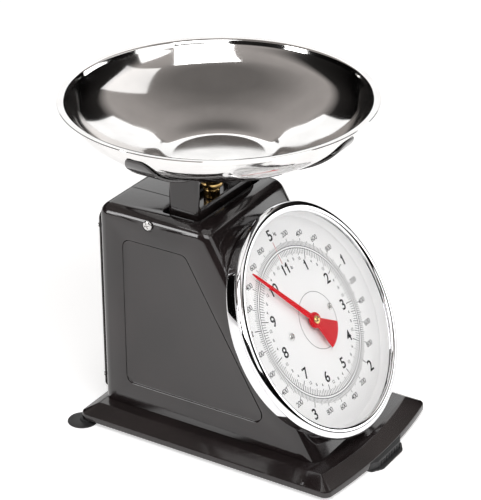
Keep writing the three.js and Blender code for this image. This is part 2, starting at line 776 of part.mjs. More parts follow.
function addColumnPin(name, side, z) {
  const inner = frameOuterHalf + 0.3;
  const face = columnWidth / 2;
  const pin = turned([
    [0, inner], [columnPinRadius, inner], [columnPinRadius, face + gap], [columnPinRadius + 1.5, face + gap],
    [columnPinRadius + 1.5, face + gap + 1], [columnPinRadius, face + gap + 1.8], [0, face + gap + 1.8],
  ], 12);
  const mesh = place(scale, name, pin, zincSteel);
  mesh.rotation.y = side * Math.PI / 2;
  mesh.position.set(0, columnCentreY, z);
}

function addPivotRod(name, z) {
  const end = frameOuterHalf + 0.4 + linkThickness + 2;
  place(scale, name, crossBar(pivotRodRadius, -end, end, linkPivotY, z), zincSteel);
}

function addLinkage() {
  for (const [level, z] of [['upper', upperLinkZ], ['lower', lowerLinkZ]]) {
    addPivotRod(`${level}_pivot_rod`, linkPivotZ(z));
    for (const [hand, side] of [['left', -1], ['right', 1]]) {
      addLink(`${level}_link_${hand}`, side, z);
      addColumnPin(`${level}_column_pin_${hand}`, side, z);
    }
  }
}

// ---------------------------------------------------------------------------------------------
// Dish, spider and column
// ---------------------------------------------------------------------------------------------


// Underside of the dish as [share of the radius, share of the depth].
const dishForm = [[0.3, 0], [0.36, 0.025], [0.44, 0.11], [0.6, 0.24], [0.76, 0.425], [0.88, 0.655], [0.952, 0.93]];

const dishCurve = new THREE.SplineCurve(dishForm.map(([r, h]) => new THREE.Vector2(
  r * dishRadius, dishBottomZ + h * (dishDepth - dishWall))));
const dishUnderside = dishCurve.getPoints(7).map((p) => [p.x, p.y]);

// Height of the dish's underside at a distance from its axis.
function dishUnderZ(radius) {
  if (radius <= dishUnderside[0][0]) return dishBottomZ;
  const next = dishUnderside.findIndex(([r]) => r >= radius);
  const [r0, z0] = dishUnderside[next - 1];
  const [r1, z1] = dishUnderside[next];
  return z0 + ((z1 - z0) * (radius - r0)) / (r1 - r0);
}

function addDish() {
  const rimInner = dishRadius - dishRimWidth;
  const outside = [
    [0, dishBottomZ], ...dishUnderside, [rimInner + 0.9, dishRimZ - dishWall - 0.7],
    [dishRadius - 0.4, dishRimZ - dishWall - 0.1], [dishRadius, dishRimZ - dishWall / 2], [dishRadius - 0.4, dishRimZ],
  ];
  const lift = dishWall;
  const inside = dishUnderside.map(([r, z]) => [r - lift * 0.35, z + lift]).reverse();
  const profile = [...outside, [rimInner, dishRimZ - 0.7], ...inside, [0, dishBottomZ + lift]];
  place(scale, 'dish', turned(profile, 40), polishedSteel);
}

// One pair of opposite arms: a bent strip that follows the dish's underside.
function armPair() {
  const radii = [0, ...dishUnderside.map(([r]) => r).filter((r) => r < armLength - 1), armLength];
  const top = radii.map((r) => [r, dishUnderZ(r) - gap]);
  const mirrored = top.slice(1).map(([r, z]) => [-r, z]).reverse();
  const upper = [...mirrored, ...top];
  const lower = upper.map(([r, z]) => [r, z - armThickness]).reverse();
  const section = new THREE.Shape([...upper, ...lower].map(([r, z]) => new THREE.Vector2(r, z)));
  const strip = sidePlate(section, -armWidth / 2, armWidth / 2);
  const plan = slab(roundedBox(-armWidth / 2, armWidth / 2, -armLength, armLength, armTipRadius), 100, 400, 4);
  return common(strip, plan);
}

const spiderUnderZ = dishBottomZ - gap - armThickness;

function addSpider() {
  const screws = [-1, 1].map((side) => post(1.6 + gap, columnTopZ - 10, columnTopZ + 40,
    side * armScrewSpacing / 2, columnCentreY, 14));
  const recesses = [-1, 1].map((side) => post(4, spiderUnderZ + 0.8, columnTopZ + 40, side * armScrewSpacing / 2,
    columnCentreY, 16));
  const hub = slab(roundedBox(-32, 32, -columnDepth / 2, columnBackY, 8), spiderUnderZ, spiderUnderZ + armThickness, 4);
  const spider = cut(join(armPair(), armPair().rotateZ(Math.PI / 2), hub), ...screws, ...recesses);
  place(scale, 'spider', spider, blackEnamel);
  [-1, 1].forEach((side, i) => {
    const screw = turned([
      [0, columnTopZ - 6], [1.6, columnTopZ - 6], [1.6, spiderUnderZ + 0.8 + gap],
      [3.6, spiderUnderZ + 0.8 + gap], [3.6, spiderUnderZ + armThickness - 0.3],
      [0, spiderUnderZ + armThickness - 0.3],
    ], 14);
    const mesh = place(scale, `spider_screw_${i + 1}`, screw, zincSteel);
    mesh.position.set(side * armScrewSpacing / 2, columnCentreY, 0);
  });
}

function addColumn() {
  const half = columnWidth / 2;
  const outer = slab(roundedBox(-half, half, columnFrontY, columnBackY, columnRadius), columnSkirtZ, columnTopZ, 3);
  const bore = slab(
    roundedBox(-half + columnWall, half - columnWall, columnFrontY + columnWall, columnBackY - columnWall,
      columnRadius - columnWall / 2),
    columnSkirtZ - 10, columnTopZ - columnWall, 3,
  );
  const windowHalf = windowWidth / 2;
  const openings = slab(roundedBox(-windowHalf, windowHalf, windowBottomZ, windowTopZ, 3), -100, 100, 3);
  openings.rotateX(Math.PI / 2);
  const legs = [-1, 1].map((side) => sideBox(side, half - columnWall, half,
    columnCentreY - legWidth / 2, columnCentreY + legWidth / 2, legBottomZ, columnSkirtZ + 1));
  const tongue = box(6, 26, columnFrontY, columnFrontY + columnWall, tongueBottomZ, columnSkirtZ + 1);
  const shelfHoles = [-1, 1].map((side) => sideBox(side, half - columnWall - 1, half + 1,
    columnCentreY - 5.3, columnCentreY + 5.3, shelfZ - shelfThickness - gap, shelfZ + gap));
  const column = cut(
    join(cut(outer, bore), ...legs, tongue),
    openings,
    ...shelfHoles,
    crossBar(columnPinRadius + gap, -100, 100, columnCentreY, upperLinkZ),
    crossBar(columnPinRadius + gap, -100, 100, columnCentreY, lowerLinkZ),
    ...driveRivetZ.map((z) => lengthBar(1.5 + gap, columnFrontY - 5, columnFrontY + 5, driveRivetX, z, 14)),
    ...[-1, 1].map((side) => post(1.6 + gap, columnTopZ - 10, columnTopZ + 40,
      side * armScrewSpacing / 2, columnCentreY, 14)),
  );
  place(scale, 'column', column, blackEnamel);
}

// The shelf spans the column and its end tabs sit in the side walls.
function addShelf() {
  const inside = columnWidth / 2 - columnWall - gap;
  const depth = columnDepth / 2 - columnWall - gap;
  const plate = join(
    slab(roundedBox(-inside, inside, columnCentreY - depth, columnCentreY + depth, columnRadius),
      shelfZ - shelfThickness, shelfZ, 3),
    box(-columnWidth / 2, columnWidth / 2, columnCentreY - 5, columnCentreY + 5, shelfZ - shelfThickness, shelfZ),
  );
  place(scale, 'knob_shelf', cut(plate, post(rodRadius + 0.6, 100, 300, 0, columnCentreY)), blackEnamel);
}

// ---------------------------------------------------------------------------------------------
// Zero adjustment and springs
// ---------------------------------------------------------------------------------------------

function addKnob() {
  const bottom = shelfZ + gap;
  const neck = bottom + knobBodyHeight;
  const top = neck + knobFlangeHeight;
  const bore = rodRadius + gap;
  const body = turned([
    [bore, bottom], [knobBodyRadius - 0.6, bottom], [knobBodyRadius, bottom + 0.6], [knobBodyRadius, neck - 2],
    [knobBodyRadius - 0.8, neck], [knobFlangeRadius - 0.5, neck], [knobFlangeRadius, neck + 0.6],
    [knobFlangeRadius, top - 0.8], [knobFlangeRadius - 0.8, top], [bore, top],
  ], 24);
  const grooves = [];
  const count = 12;
  for (let i = 0; i < count; i += 1) {
    const angle = (2 * Math.PI * i) / count;
    grooves.push(post(0.4, bottom - 1, neck - 2.4, knobBodyRadius * Math.cos(angle),
      knobBodyRadius * Math.sin(angle), 5));
  }
  const knob = place(scale, 'zero_knob', cut(body, ...grooves), brass);
  knob.position.set(0, columnCentreY, 0);
}

function addRodAndYoke() {
  const rod = turned([
    [0, yokeZ - 3], [rodRadius, yokeZ - 3], [rodRadius, rodTopZ - 0.6], [rodRadius - 0.6, rodTopZ], [0, rodTopZ],
  ], 16);
  const rodMesh = place(scale, 'adjuster_rod', rod, brass);
  rodMesh.position.set(0, columnCentreY, 0);
  const yokeHalf = yokeWidth / 2;
  const yoke = cut(
    slab(roundedBox(-yokeHalf, yokeHalf, -6, 6, 3), yokeZ, yokeZ + yokeHeight, 3),
    post(rodRadius + gap, 0, 200),
    post(springWire + 0.5, 0, 200, -springX, 0, 12),
    post(springWire + 0.5, 0, 200, springX, 0, 12),
  );
  const yokeMesh = place(scale, 'spring_yoke', yoke, zincSteel);
  yokeMesh.position.set(0, columnCentreY, 0);
}

function addSpringBar() {
  const reach = frameOuterHalf;
  const bar = cut(
    box(-reach, reach, -springBarDepth / 2, springBarDepth / 2, springBarZ, springBarZ + springBarHeight),
    post(rodRadius + 1.5, 0, 300),
    post(springWire + 0.5, 0, 300, -springX, 0, 12),
    post(springWire + 0.5, 0, 300, springX, 0, 12),
  );
  const mesh = place(scale, 'spring_bar', bar, zincSteel);
  mesh.position.set(0, columnCentreY, 0);
}

// A coil with a straight end through the bar and one through the yoke, each bent over to hold.
function addSpring(name, side) {
  const coilTop = springBarZ - 4;
  const coilBottom = yokeZ + yokeHeight + 4;
  const above = springBarZ + springBarHeight + springWire + gap;
  const below = yokeZ - springWire - gap;
  const points = [[springCoilRadius, 0, above], [1, 0, above], [0, 0, above - 1], [0, 0, coilTop + 2.5]];
  const steps = 8 * springTurns;
  for (let i = 0; i <= steps; i += 1) {
    const angle = (2 * Math.PI * i) / 8;
    const z = coilTop + ((coilBottom - coilTop) * i) / steps;
    points.push([springCoilRadius * Math.cos(angle), springCoilRadius * Math.sin(angle), z]);
  }
  points.push([0, 0, coilBottom - 2.5], [0, 0, below + 1], [1, 0, below], [springCoilRadius, 0, below]);
  const path = new THREE.CatmullRomCurve3(points.map((p) => new THREE.Vector3(...p)), false, 'centripetal');
  const wire = new THREE.ExtrudeGeometry(disc(springWire), {
    steps: 78, bevelEnabled: false, extrudePath: path, curveSegments: 2,
  });
  const mesh = place(scale, name, wire, springSteel);
  mesh.position.set(side * springX, columnCentreY, 0);
}

// ---------------------------------------------------------------------------------------------
// Drum, bezel, dial and lens: drawn in the dial's group
// ---------------------------------------------------------------------------------------------

const lensSeatDepth = 2.2;      // the lens's front edge behind the bezel's front face
const lensRadius = bezelInnerRadius + 1.6;
const dialPlateRadius = bezelInnerRadius - 0.3;

function dialScrewHoles(radius) {
  return [-1, 1].map((side) => post(radius, -100, 10, side * dialScrewSpacing / 2, 0, 14));
}

function addDrum() {
  const back = -drumDepth;
  const inner = drumRadius - drumWall;
  const front = -bezelDepth + 1.5;
  const cup = turned([
    [0, back], [drumRadius - 2, back], [drumRadius, back + 2], [drumRadius, front], [inner, front],
    [inner, back + 2], [inner - 1, back + drumWall], [0, back + drumWall],
  ], 44);
  place(dialGroup, 'dial_drum', cut(cup, post(arborHoleRadius, -100, 10), ...dialScrewHoles(4)), chrome);
}

function addBezel() {
  const outer = bezelRadius;
  const inner = bezelInnerRadius;
  const lensEdge = lensRadius + gap;
  const drumFit = drumRadius + gap;
  place(dialGroup, 'bezel_ring', turned([
    [inner, 0], [inner + 2.2, -0.1], [inner + 3, -1], [outer - 2.6, -1.3], [outer - 0.8, -2], [outer, -3.2],
    [outer, -5], [outer - 1.4, -bezelDepth], [drumFit, -bezelDepth - 2.5], [drumFit, -4.6],
    [drumFit - 1.6, -4.6], [lensEdge, -4.6], [lensEdge, -lensSeatDepth + gap], [inner, -lensSeatDepth + gap],
  ], 44), chrome);
}

function addLens() {
  const front = -lensSeatDepth;
  const rings = 3;
  const crown = (r, z) => z + lensCrown * (1 - (r / lensRadius) ** 2);
  const outside = [];
  const inside = [];
  for (let i = 0; i <= rings; i += 1) {
    const r = (lensRadius * (rings - i)) / rings;
    const flattened = Math.max(r, 0);
    outside.push([flattened, Math.min(crown(flattened, front), -0.2)]);
    inside.push([flattened, crown(flattened, front - lensThickness) - 0.6]);
  }
  place(dialGroup, 'dial_lens', turned([...outside.reverse(), ...inside], 36), clearLens);
}

function addGasket() {
  const top = -lensSeatDepth - lensThickness - 1;
  const bottom = -dialPlateDepth + gap;
  place(dialGroup, 'lens_spacer', turned([
    [dialPlateRadius - 1.6, bottom], [dialPlateRadius - 0.2, bottom], [lensRadius - 0.4, top], [lensRadius - 2, top],
  ], 44), whitePlastic);
}

function addDialPlate() {
  const plate = cut(
    turned([[0, -dialPlateDepth - dialPlateThickness], [dialPlateRadius, -dialPlateDepth - dialPlateThickness],
      [dialPlateRadius, -dialPlateDepth], [0, -dialPlateDepth]], 44),
    post(arborHoleRadius - 1, -100, 10),
    ...dialScrewHoles(1.5),
  );
  place(dialGroup, 'dial_plate', plate, dialWhite);
}

const pillarTopDepth = dialPlateDepth + dialPlateThickness + gap;

function addDialFixings() {
  for (const [hand, side] of [['left', -1], ['right', 1]]) {
    const x = side * dialScrewSpacing / 2;
    const pillar = cut(
      post(3.4, -movementPlateDepth + gap, -pillarTopDepth, x, 0, 16),
      post(1.5, -movementPlateDepth - 10, 10, x, 0, 12),
    );
    place(dialGroup, `dial_pillar_${hand}`, pillar, zincSteel);
    const reach = movementBackDepth + 2 - dialPlateDepth;
    const screw = place(dialGroup, `dial_screw_${hand}`, crossScrew(2.9, 1.4, 1.1, reach), chrome);
    screw.position.set(x, 0, -dialPlateDepth + gap);
  }
}

// ---------------------------------------------------------------------------------------------
// Movement: plate, bridge, bushes, gear, rack and pointer
// ---------------------------------------------------------------------------------------------

function addMovementFrame() {
  const halfWidth = movementPlateWidth / 2;
  const halfHeight = movementPlateHeight / 2;
  const plate = cut(
    slab(roundedBox(-halfWidth, halfWidth, -halfHeight, halfHeight, 6), -movementBackDepth, -movementPlateDepth, 3),
    post(bushRadius + gap, -100, 10, 0, 0, 20),
    ...dialScrewHoles(1.5),
  );
  place(dialGroup, 'movement_plate', plate, zincSteel);
  const near = -movementBackDepth - gap;
  const far = -bridgeDepth - bridgeThickness;
  const half = bridgeSpan / 2;
  const tall = bridgeHeight / 2;
  const bridge = cut(
    join(
      box(-half, half, -tall, tall, far, -bridgeDepth),
      box(-half, -half + 2, -tall, tall, far, near),
      box(half - 2, half, -tall, tall, far, near),
      box(-half - 7, -half + 1, -tall, tall, near - 1.6, near),
      box(half - 1, half + 7, -tall, tall, near - 1.6, near),
    ),
    post(bushRadius + gap, -100, 10, 0, 0, 20),
    ...dialScrewHoles(1.5),
  );
  place(dialGroup, 'bearing_bridge', bridge, zincSteel);
}

function bush(depth, thickness) {
  const bore = arborRadius + 0.3;
  return turned([
    [bore, -depth - thickness - 1.2], [bushRadius, -depth - thickness - 1.2], [bushRadius, -depth + gap],
    [bushRadius + 1.2, -depth + gap], [bushRadius + 1.2, -depth + gap + 1], [bore, -depth + gap + 1],
  ], 14);
}

function addBushes() {
  place(dialGroup, 'front_bush', bush(movementPlateDepth, movementPlateThickness), brass);
  place(dialGroup, 'rear_bush', bush(bridgeDepth, bridgeThickness), brass);
}

const pitchRadius = (gearModule * gearTeeth) / 2;
const toothPitch = Math.PI * gearModule;
const pressureAngle = 20 * degree;

// Half of the angle that a tooth spans at a radius, on an involute flank.
function toothHalfAngle(radius) {
  const baseRadius = pitchRadius * Math.cos(pressureAngle);
  const involute = (r) => {
    const angle = Math.acos(Math.min(1, baseRadius / r));
    return Math.tan(angle) - angle;
  };
  const pitchHalf = (gearModule * (Math.PI / 2 + 2 * gearShift * Math.tan(pressureAngle))) / (2 * pitchRadius);
  return pitchHalf - toothPlay / pitchRadius + involute(pitchRadius) - involute(Math.max(radius, baseRadius));
}

function gearOutline() {
  const root = pitchRadius - gearModule * (1.25 - gearShift);
  const tip = pitchRadius + gearModule * 1.2;
  const radii = [root, pitchRadius * 0.94, pitchRadius * 1.06, pitchRadius * 1.18, tip];
  const points = [];
  for (let tooth = 0; tooth < gearTeeth; tooth += 1) {
    const middle = (2 * Math.PI * tooth) / gearTeeth;
    const flank = radii.map((r) => [r, toothHalfAngle(r)]);
    for (const [r, half] of flank) points.push([r, middle - half]);
    for (const [r, half] of flank.reverse()) points.push([r, middle + half]);
  }
  return new THREE.Shape(points.map(([r, a]) => new THREE.Vector2(r * Math.cos(a), r * Math.sin(a))));
}

function addGearAndArbor() {
  const back = -gearDepth - gearWidth;
  const gear = cut(
    join(slab(gearOutline(), back, -gearDepth), post(2.6, -gearDepth - 0.1, -gearDepth + 2, 0, 0, 20)),
    post(arborRadius + 0.1, -100, 10, 0, 0, 14),
  );
  place(dialGroup, 'drive_gear', gear, brass);
  place(dialGroup, 'pointer_arbor', post(arborRadius, -arborBackDepth, -arborFrontDepth, 0, 0, 14), zincSteel);
}

// Rack: drawn in the dial's plane, teeth towards the gear, with a cross slot in its head.
function addRack() {
  const reference = pitchRadius + gearModule * gearShift;
  const tipX = reference - gearModule;
  const rootX = reference + gearModule * 1.25;
  const halfAt = (x) => toothPitch / 4 - toothPlay + (x - reference) * Math.tan(pressureAngle);
  const lowest = -rackTeeth + 4;
  const bottom = (lowest - 0.5) * toothPitch;
  const headHalf = 5.5;
  const points = [[rackBackX, bottom], [rackBackX, rackHeadReach + headHalf], [rootX, rackHeadReach + headHalf]];
  for (let i = 3; i >= lowest; i -= 1) {
    const middle = (i + 0.5) * toothPitch;
    points.push([rootX, middle + halfAt(rootX)], [tipX, middle + halfAt(tipX)]);
    points.push([tipX, middle - halfAt(tipX)], [rootX, middle - halfAt(rootX)]);
  }
  points.push([rootX, bottom]);
  const outline = new THREE.Shape(points.map(([x, y]) => new THREE.Vector2(x, y)));
  const bar = slab(outline, -rackDepth - rackWidth, -rackDepth);
  const head = box(rootX, rackBackX, rackHeadReach - headHalf, rackHeadReach + headHalf,
    -drivePinDepth - 6, -drivePinDepth + 11);
  const slotHalf = drivePinRadius + gap;
  const slot = box(-20, 20, rackHeadReach - slotHalf, rackHeadReach + slotHalf,
    -drivePinDepth - 3.4, -drivePinDepth + 8.6);
  place(dialGroup, 'rack', cut(join(bar, head), slot), brass);
}

// A channel on the movement plate that keeps the rack against the gear.
function addRackGuide() {
  const y0 = 17;
  const y1 = 29;
  const play = 0.35;
  const near = -movementBackDepth - gap;
  const farWall = -rackDepth - rackWidth - play;
  const back = rackBackX + play;
  const rootX = pitchRadius + gearModule * (gearShift + 1.25);
  const guide = join(
    box(back, back + 2, y0, y1, farWall - 1.6, near),
    box(rootX, back + 1, y0, y1, farWall - 1.6, farWall),
    box(rootX, back + 1, y0, y1, -rackDepth + play, -rackDepth + play + 1.6),
    box(back, back + 12, y0, y1, near - 1.6, near),
  );
  place(dialGroup, 'rack_guide', guide, zincSteel);
}

const tongueBottomZ = columnSkirtZ - 22;
const driveRivetX = 16;
const driveRivetZ = [tongueBottomZ + 5, tongueBottomZ + 15];

// The arm that carries the column's motion forward to the rack, with its drive pin.
function addDriveArm() {
  const pinY = dialY + Math.cos(dialTilt) * drivePinDepth + Math.sin(dialTilt) * rackHeadReach;
  const pinZ = dialZ - Math.sin(dialTilt) * drivePinDepth + Math.cos(dialTilt) * rackHeadReach;
  const face = columnFrontY - gap;
  const armX = rackBackX + 1.8;
  const web = sidePlate(rounded([
    [face, columnSkirtZ - 2, 1], [face - 14, columnSkirtZ - 4, 4], [pinY - 5, pinZ + 4, 3],
    [pinY - 4, pinZ - 5, 3], [pinY + 5, pinZ - 5, 3], [face, tongueBottomZ, 1],
  ]), armX, armX + 2, 3);
  const flange = box(armX, armX + 14, face - 1.6, face, tongueBottomZ, columnSkirtZ - 2);
  const pin = crossBar(drivePinRadius, 1.6, armX + 1, pinY, pinZ, 16);
  const rivets = driveRivetZ.map((z) => lengthBar(1.5, face - 2.6, face + columnWall + 2, driveRivetX, z, 14));
  place(scale, 'drive_arm', join(web, flange, pin, ...rivets), zincSteel);
}

function addPointer() {
  const tailEnd = -pointerTailLength;
  const spread = Math.sin(pointerTailSpread) * pointerTailLength;
  const shape = new THREE.Shape();
  shape.moveTo(0, pointerLength);
  shape.lineTo(-2.2, 4);
  shape.lineTo(-2.6, -2);
  shape.lineTo(-spread, tailEnd * Math.cos(pointerTailSpread));
  shape.quadraticCurveTo(0, tailEnd * 1.1, spread, tailEnd * Math.cos(pointerTailSpread));
  shape.lineTo(2.6, -2);
  shape.lineTo(2.2, 4);
  shape.closePath();
  const back = -pointerDepth - pointerThickness;
  const blade = cut(
    join(slab(shape, back, -pointerDepth, 6), post(pointerHubRadius, back - 1.4, -pointerDepth + 0.5, 0, 0, 20)),
    post(arborRadius + 0.1, -100, 10, 0, 0, 14),
  );
  const pointer = place(dialGroup, 'pointer', blade, pointerRed);
  pointer.rotation.z = -pointerReading;
  const capBase = -pointerDepth + 0.5 + gap;
  const cap = turned([
    [arborRadius + 0.1, capBase], [3.4, capBase], [3.4, capBase + 0.7], [2.4, capBase + 1.5],
    [0, capBase + 1.9], [0, capBase + 1.4], [arborRadius + 0.1, capBase + 1.4],
  ], 14);
  place(dialGroup, 'pointer_cap', cap, brass);
}

// ---------------------------------------------------------------------------------------------

addBase();
addRearFoot('rear_foot_left', -1);
addRearFoot('rear_foot_right', 1);
addFrontFoot();
addCasing();
addRearCover();
addSideScrew('side_screw_left', -1);
addSideScrew('side_screw_right', 1);
addFrame();
addCasingStrap();
addLinkage();
addDish();
addSpider();
addColumn();
addShelf();
addKnob();
addRodAndYoke();
addSpringBar();
addSpring('spring_left', -1);
addSpring('spring_right', 1);
addDrum();
addBezel();
addLens();
addGasket();
addDialPlate();
addDialFixings();
addMovementFrame();
addBushes();
addGearAndArbor();
addRack();
addRackGuide();
addDriveArm();
addPointer();

export default scale;
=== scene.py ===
"""A mechanical kitchen scale: steel dish, sprung column, enamelled casing and a leaning round dial."""

import logging
import math
from collections.abc import Callable, Sequence
from dataclasses import dataclass, field
from enum import Enum

import bmesh
import bpy
from mathutils import Matrix, Vector


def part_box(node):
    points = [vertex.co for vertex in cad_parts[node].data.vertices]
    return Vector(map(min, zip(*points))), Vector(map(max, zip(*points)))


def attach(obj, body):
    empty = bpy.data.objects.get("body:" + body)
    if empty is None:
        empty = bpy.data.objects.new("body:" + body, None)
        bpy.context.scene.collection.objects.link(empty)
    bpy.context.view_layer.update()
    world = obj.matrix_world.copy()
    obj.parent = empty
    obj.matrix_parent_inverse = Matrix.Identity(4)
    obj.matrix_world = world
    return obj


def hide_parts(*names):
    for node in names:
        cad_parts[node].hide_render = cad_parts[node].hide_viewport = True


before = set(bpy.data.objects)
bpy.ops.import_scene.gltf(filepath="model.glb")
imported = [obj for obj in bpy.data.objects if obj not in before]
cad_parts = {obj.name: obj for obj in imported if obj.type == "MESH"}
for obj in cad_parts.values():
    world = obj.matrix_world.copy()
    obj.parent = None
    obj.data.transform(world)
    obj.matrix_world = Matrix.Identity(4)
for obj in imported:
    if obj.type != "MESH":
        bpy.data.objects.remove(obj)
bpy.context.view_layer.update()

logging.basicConfig(level=logging.INFO, format="%(message)s")
log = logging.getLogger("kitchen_scale")

MM = 0.001
TILT = math.radians(30.1)
Point = tuple[float, float]
Corner = tuple[float, float, float]


# --- Places ---


def scale_place() -> Matrix:
    """Place of the scale's own frame: dish axis, base's lower edge, millimetres."""
    low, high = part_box("dish")
    centre = (Vector(low) + Vector(high)) / 2
    return Matrix.Translation((centre.x, centre.y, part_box("base_plate")[0][2])) @ Matrix.Scale(MM, 4)


def dial_place() -> Matrix:
    """Place of the dial: its centre on the bezel's front, Y up the dial, Z out of it."""
    return scale_place() @ Matrix.Translation((0, -94.7, 106.7)) @ Matrix.Rotation(math.pi / 2 - TILT, 4, "X")


def at(place: Matrix, x: float, y: float, z: float) -> Matrix:
    """A place moved by an offset in its own millimetres."""
    return place @ Matrix.Translation((x, y, z))


# --- Finishes ---


@dataclass(frozen=True)
class Finish:
    """A surface finish whose colour, sheen and fine relief vary over the piece.

    Attributes:
        name: Name of the material.
        colour: Main colour.
        second: Colour it varies towards.
        rough: Lowest and highest roughness.
        grain: Size of the colour and sheen variation, per metre.
        relief: Depth of the fine relief, in metres.
        relief_grain: Size of the fine relief, per metre.
        stretch: How far the pattern is drawn out along X, Y and Z.
        metal: How metallic it is.
        coat: Weight of a clear coat.
        coat_rough: Roughness of that coat.
        ior: Index of refraction.
        alpha: Opacity.
        glow: Strength of its own light.
    """

    name: str
    colour: tuple[float, float, float]
    second: tuple[float, float, float]
    rough: Point
    grain: float = 60.0
    relief: float = 0.00002
    relief_grain: float = 900.0
    stretch: tuple[float, float, float] = (1.0, 1.0, 1.0)
    metal: float = 0.0
    coat: float = 0.0
    coat_rough: float = 0.03
    ior: float = 1.5
    alpha: float = 1.0
    glow: float = 0.0

    def make(self) -> bpy.types.Material:
        """Builds the material's nodes.

        Returns:
            The material, the same one each time it is asked for.
        """
        known = bpy.data.materials.get(self.name)
        if known:
            return known
        material = bpy.data.materials.new(self.name)
        material.use_nodes = True
        nodes, links = material.node_tree.nodes, material.node_tree.links
        shader = nodes["Principled BSDF"]
        shader.inputs["Metallic"].default_value = self.metal
        shader.inputs["Coat Weight"].default_value = self.coat
        shader.inputs["Coat Roughness"].default_value = self.coat_rough
        shader.inputs["IOR"].default_value = self.ior
        shader.inputs["Alpha"].default_value = self.alpha
        shader.inputs["Emission Color"].default_value = (1, 1, 1, 1)
        shader.inputs["Emission Strength"].default_value = self.glow
        place = nodes.new("ShaderNodeTexCoord")
        mapping = nodes.new("ShaderNodeMapping")
        mapping.inputs["Scale"].default_value = self.stretch
        links.new(place.outputs["Object"], mapping.inputs["Vector"])
        mottle = self.noise(nodes, links, mapping, self.grain, 4.0)
        tone = nodes.new("ShaderNodeValToRGB")
        tone.color_ramp.elements[0].position = 0.35
        tone.color_ramp.elements[1].position = 0.65
        tone.color_ramp.elements[0].color = (*self.colour, 1)
        tone.color_ramp.elements[1].color = (*self.second, 1)
        links.new(mottle.outputs["Fac"], tone.inputs["Fac"])
        links.new(tone.outputs["Color"], shader.inputs["Base Color"])
        sheen = nodes.new("ShaderNodeMapRange")
        sheen.inputs["From Min"].default_value = 0.3
        sheen.inputs["From Max"].default_value = 0.7
        sheen.inputs["To Min"].default_value = self.rough[0]
        sheen.inputs["To Max"].default_value = self.rough[1]
        links.new(mottle.outputs["Fac"], sheen.inputs["Value"])
        links.new(sheen.outputs["Result"], shader.inputs["Roughness"])
        fine = self.noise(nodes, links, mapping, self.relief_grain, 2.0)
        bump = nodes.new("ShaderNodeBump")
        bump.inputs["Strength"].default_value = 0.5
        bump.inputs["Distance"].default_value = self.relief
        links.new(fine.outputs["Fac"], bump.inputs["Height"])
        links.new(bump.outputs["Normal"], shader.inputs["Normal"])
        return material

    def noise(self, nodes: bpy.types.Nodes, links: bpy.types.NodeLinks, mapping: bpy.types.Node,
              grain: float, detail: float) -> bpy.types.Node:
        """Adds a noise pattern on the mapped coordinates.

        Args:
            nodes: The material's nodes.
            links: The material's links.
            mapping: Node that gives the coordinates.
            grain: Pattern's size, per metre.
            detail: Octaves of detail.

        Returns:
            The noise node.
        """
        pattern = nodes.new("ShaderNodeTexNoise")
        pattern.inputs["Scale"].default_value = grain
        pattern.inputs["Detail"].default_value = detail
        links.new(mapping.outputs["Vector"], pattern.inputs["Vector"])
        return pattern


ENAMEL = Finish("gloss_black_enamel", (0.012, 0.009, 0.009), (0.019, 0.014, 0.014), (0.10, 0.16), 25,
                0.000012, 420, coat=0.35, coat_rough=0.02, ior=1.5)
DISH_STEEL = Finish("polished_dish_steel", (0.86, 0.85, 0.84), (0.80, 0.79, 0.78), (0.05, 0.10), 40,
                    0.000004, 600, metal=1.0)
CHROME = Finish("chrome_plate", (0.88, 0.88, 0.89), (0.83, 0.83, 0.84), (0.03, 0.07), 50, 0.000003, 500,
                metal=1.0)
SCREW_CHROME = Finish("screw_plate", (0.75, 0.74, 0.73), (0.60, 0.59, 0.58), (0.15, 0.28), 400, 0.00001, 3000,
                      metal=1.0)
BRASS = Finish("turned_brass", (0.85, 0.60, 0.26), (0.72, 0.48, 0.19), (0.14, 0.24), 300, 0.00001, 2500,
               metal=1.0)
ZINC = Finish("zinc_sheet", (0.55, 0.56, 0.58), (0.42, 0.43, 0.45), (0.28, 0.42), 120, 0.00002, 900, metal=1.0)
SPRING = Finish("spring_wire", (0.34, 0.34, 0.36), (0.25, 0.25, 0.27), (0.25, 0.40), 500, 0.00001, 3000,
                metal=1.0)
RUBBER = Finish("moulded_rubber", (0.018, 0.018, 0.019), (0.030, 0.030, 0.031), (0.38, 0.55), 200, 0.00004, 2500)
DIAL_WHITE = Finish("dial_enamel", (0.88, 0.88, 0.88), (0.86, 0.86, 0.865), (0.35, 0.45), 30, 0.000005, 800)
SPACER_WHITE = Finish("spacer_plastic", (0.86, 0.86, 0.86), (0.83, 0.83, 0.835), (0.40, 0.50), 60, 0.00001, 900)
INK = Finish("printed_black", (0.012, 0.012, 0.013), (0.03, 0.03, 0.032), (0.40, 0.55), 900, 0.000003, 3000,
             ior=1.15)
# Grey print ink; the same grey also paints the off-centre shadow of the lens's centre ring on the dial.
GREY_INK_AND_PAINTED_SHADE = Finish("printed_grey_and_painted_shade", (0.075, 0.075, 0.08), (0.09, 0.09, 0.095), (0.40, 0.55), 900, 0.000003, 3000,
                  ior=1.15)
RED_INK = Finish("printed_red", (0.42, 0.08, 0.08), (0.48, 0.12, 0.12), (0.40, 0.55), 900, 0.000003, 3000,
                 ior=1.15)
POINTER_RED = Finish("pointer_enamel", (0.66, 0.004, 0.012), (0.58, 0.003, 0.010), (0.35, 0.45), 120,
                     0.000008, 900, ior=1.2)
LENS = Finish("lens_glass", (0.95, 0.96, 0.97), (0.93, 0.95, 0.96), (0.02, 0.04), 20, 0.000002, 200, metal=1.0,
              alpha=0.004)
FLOOR = Finish("pale_floor", (0.93, 0.93, 0.93), (0.92, 0.92, 0.92), (0.85, 0.95), 3, 0.00001, 300, glow=0.5)


# --- Outlines ---


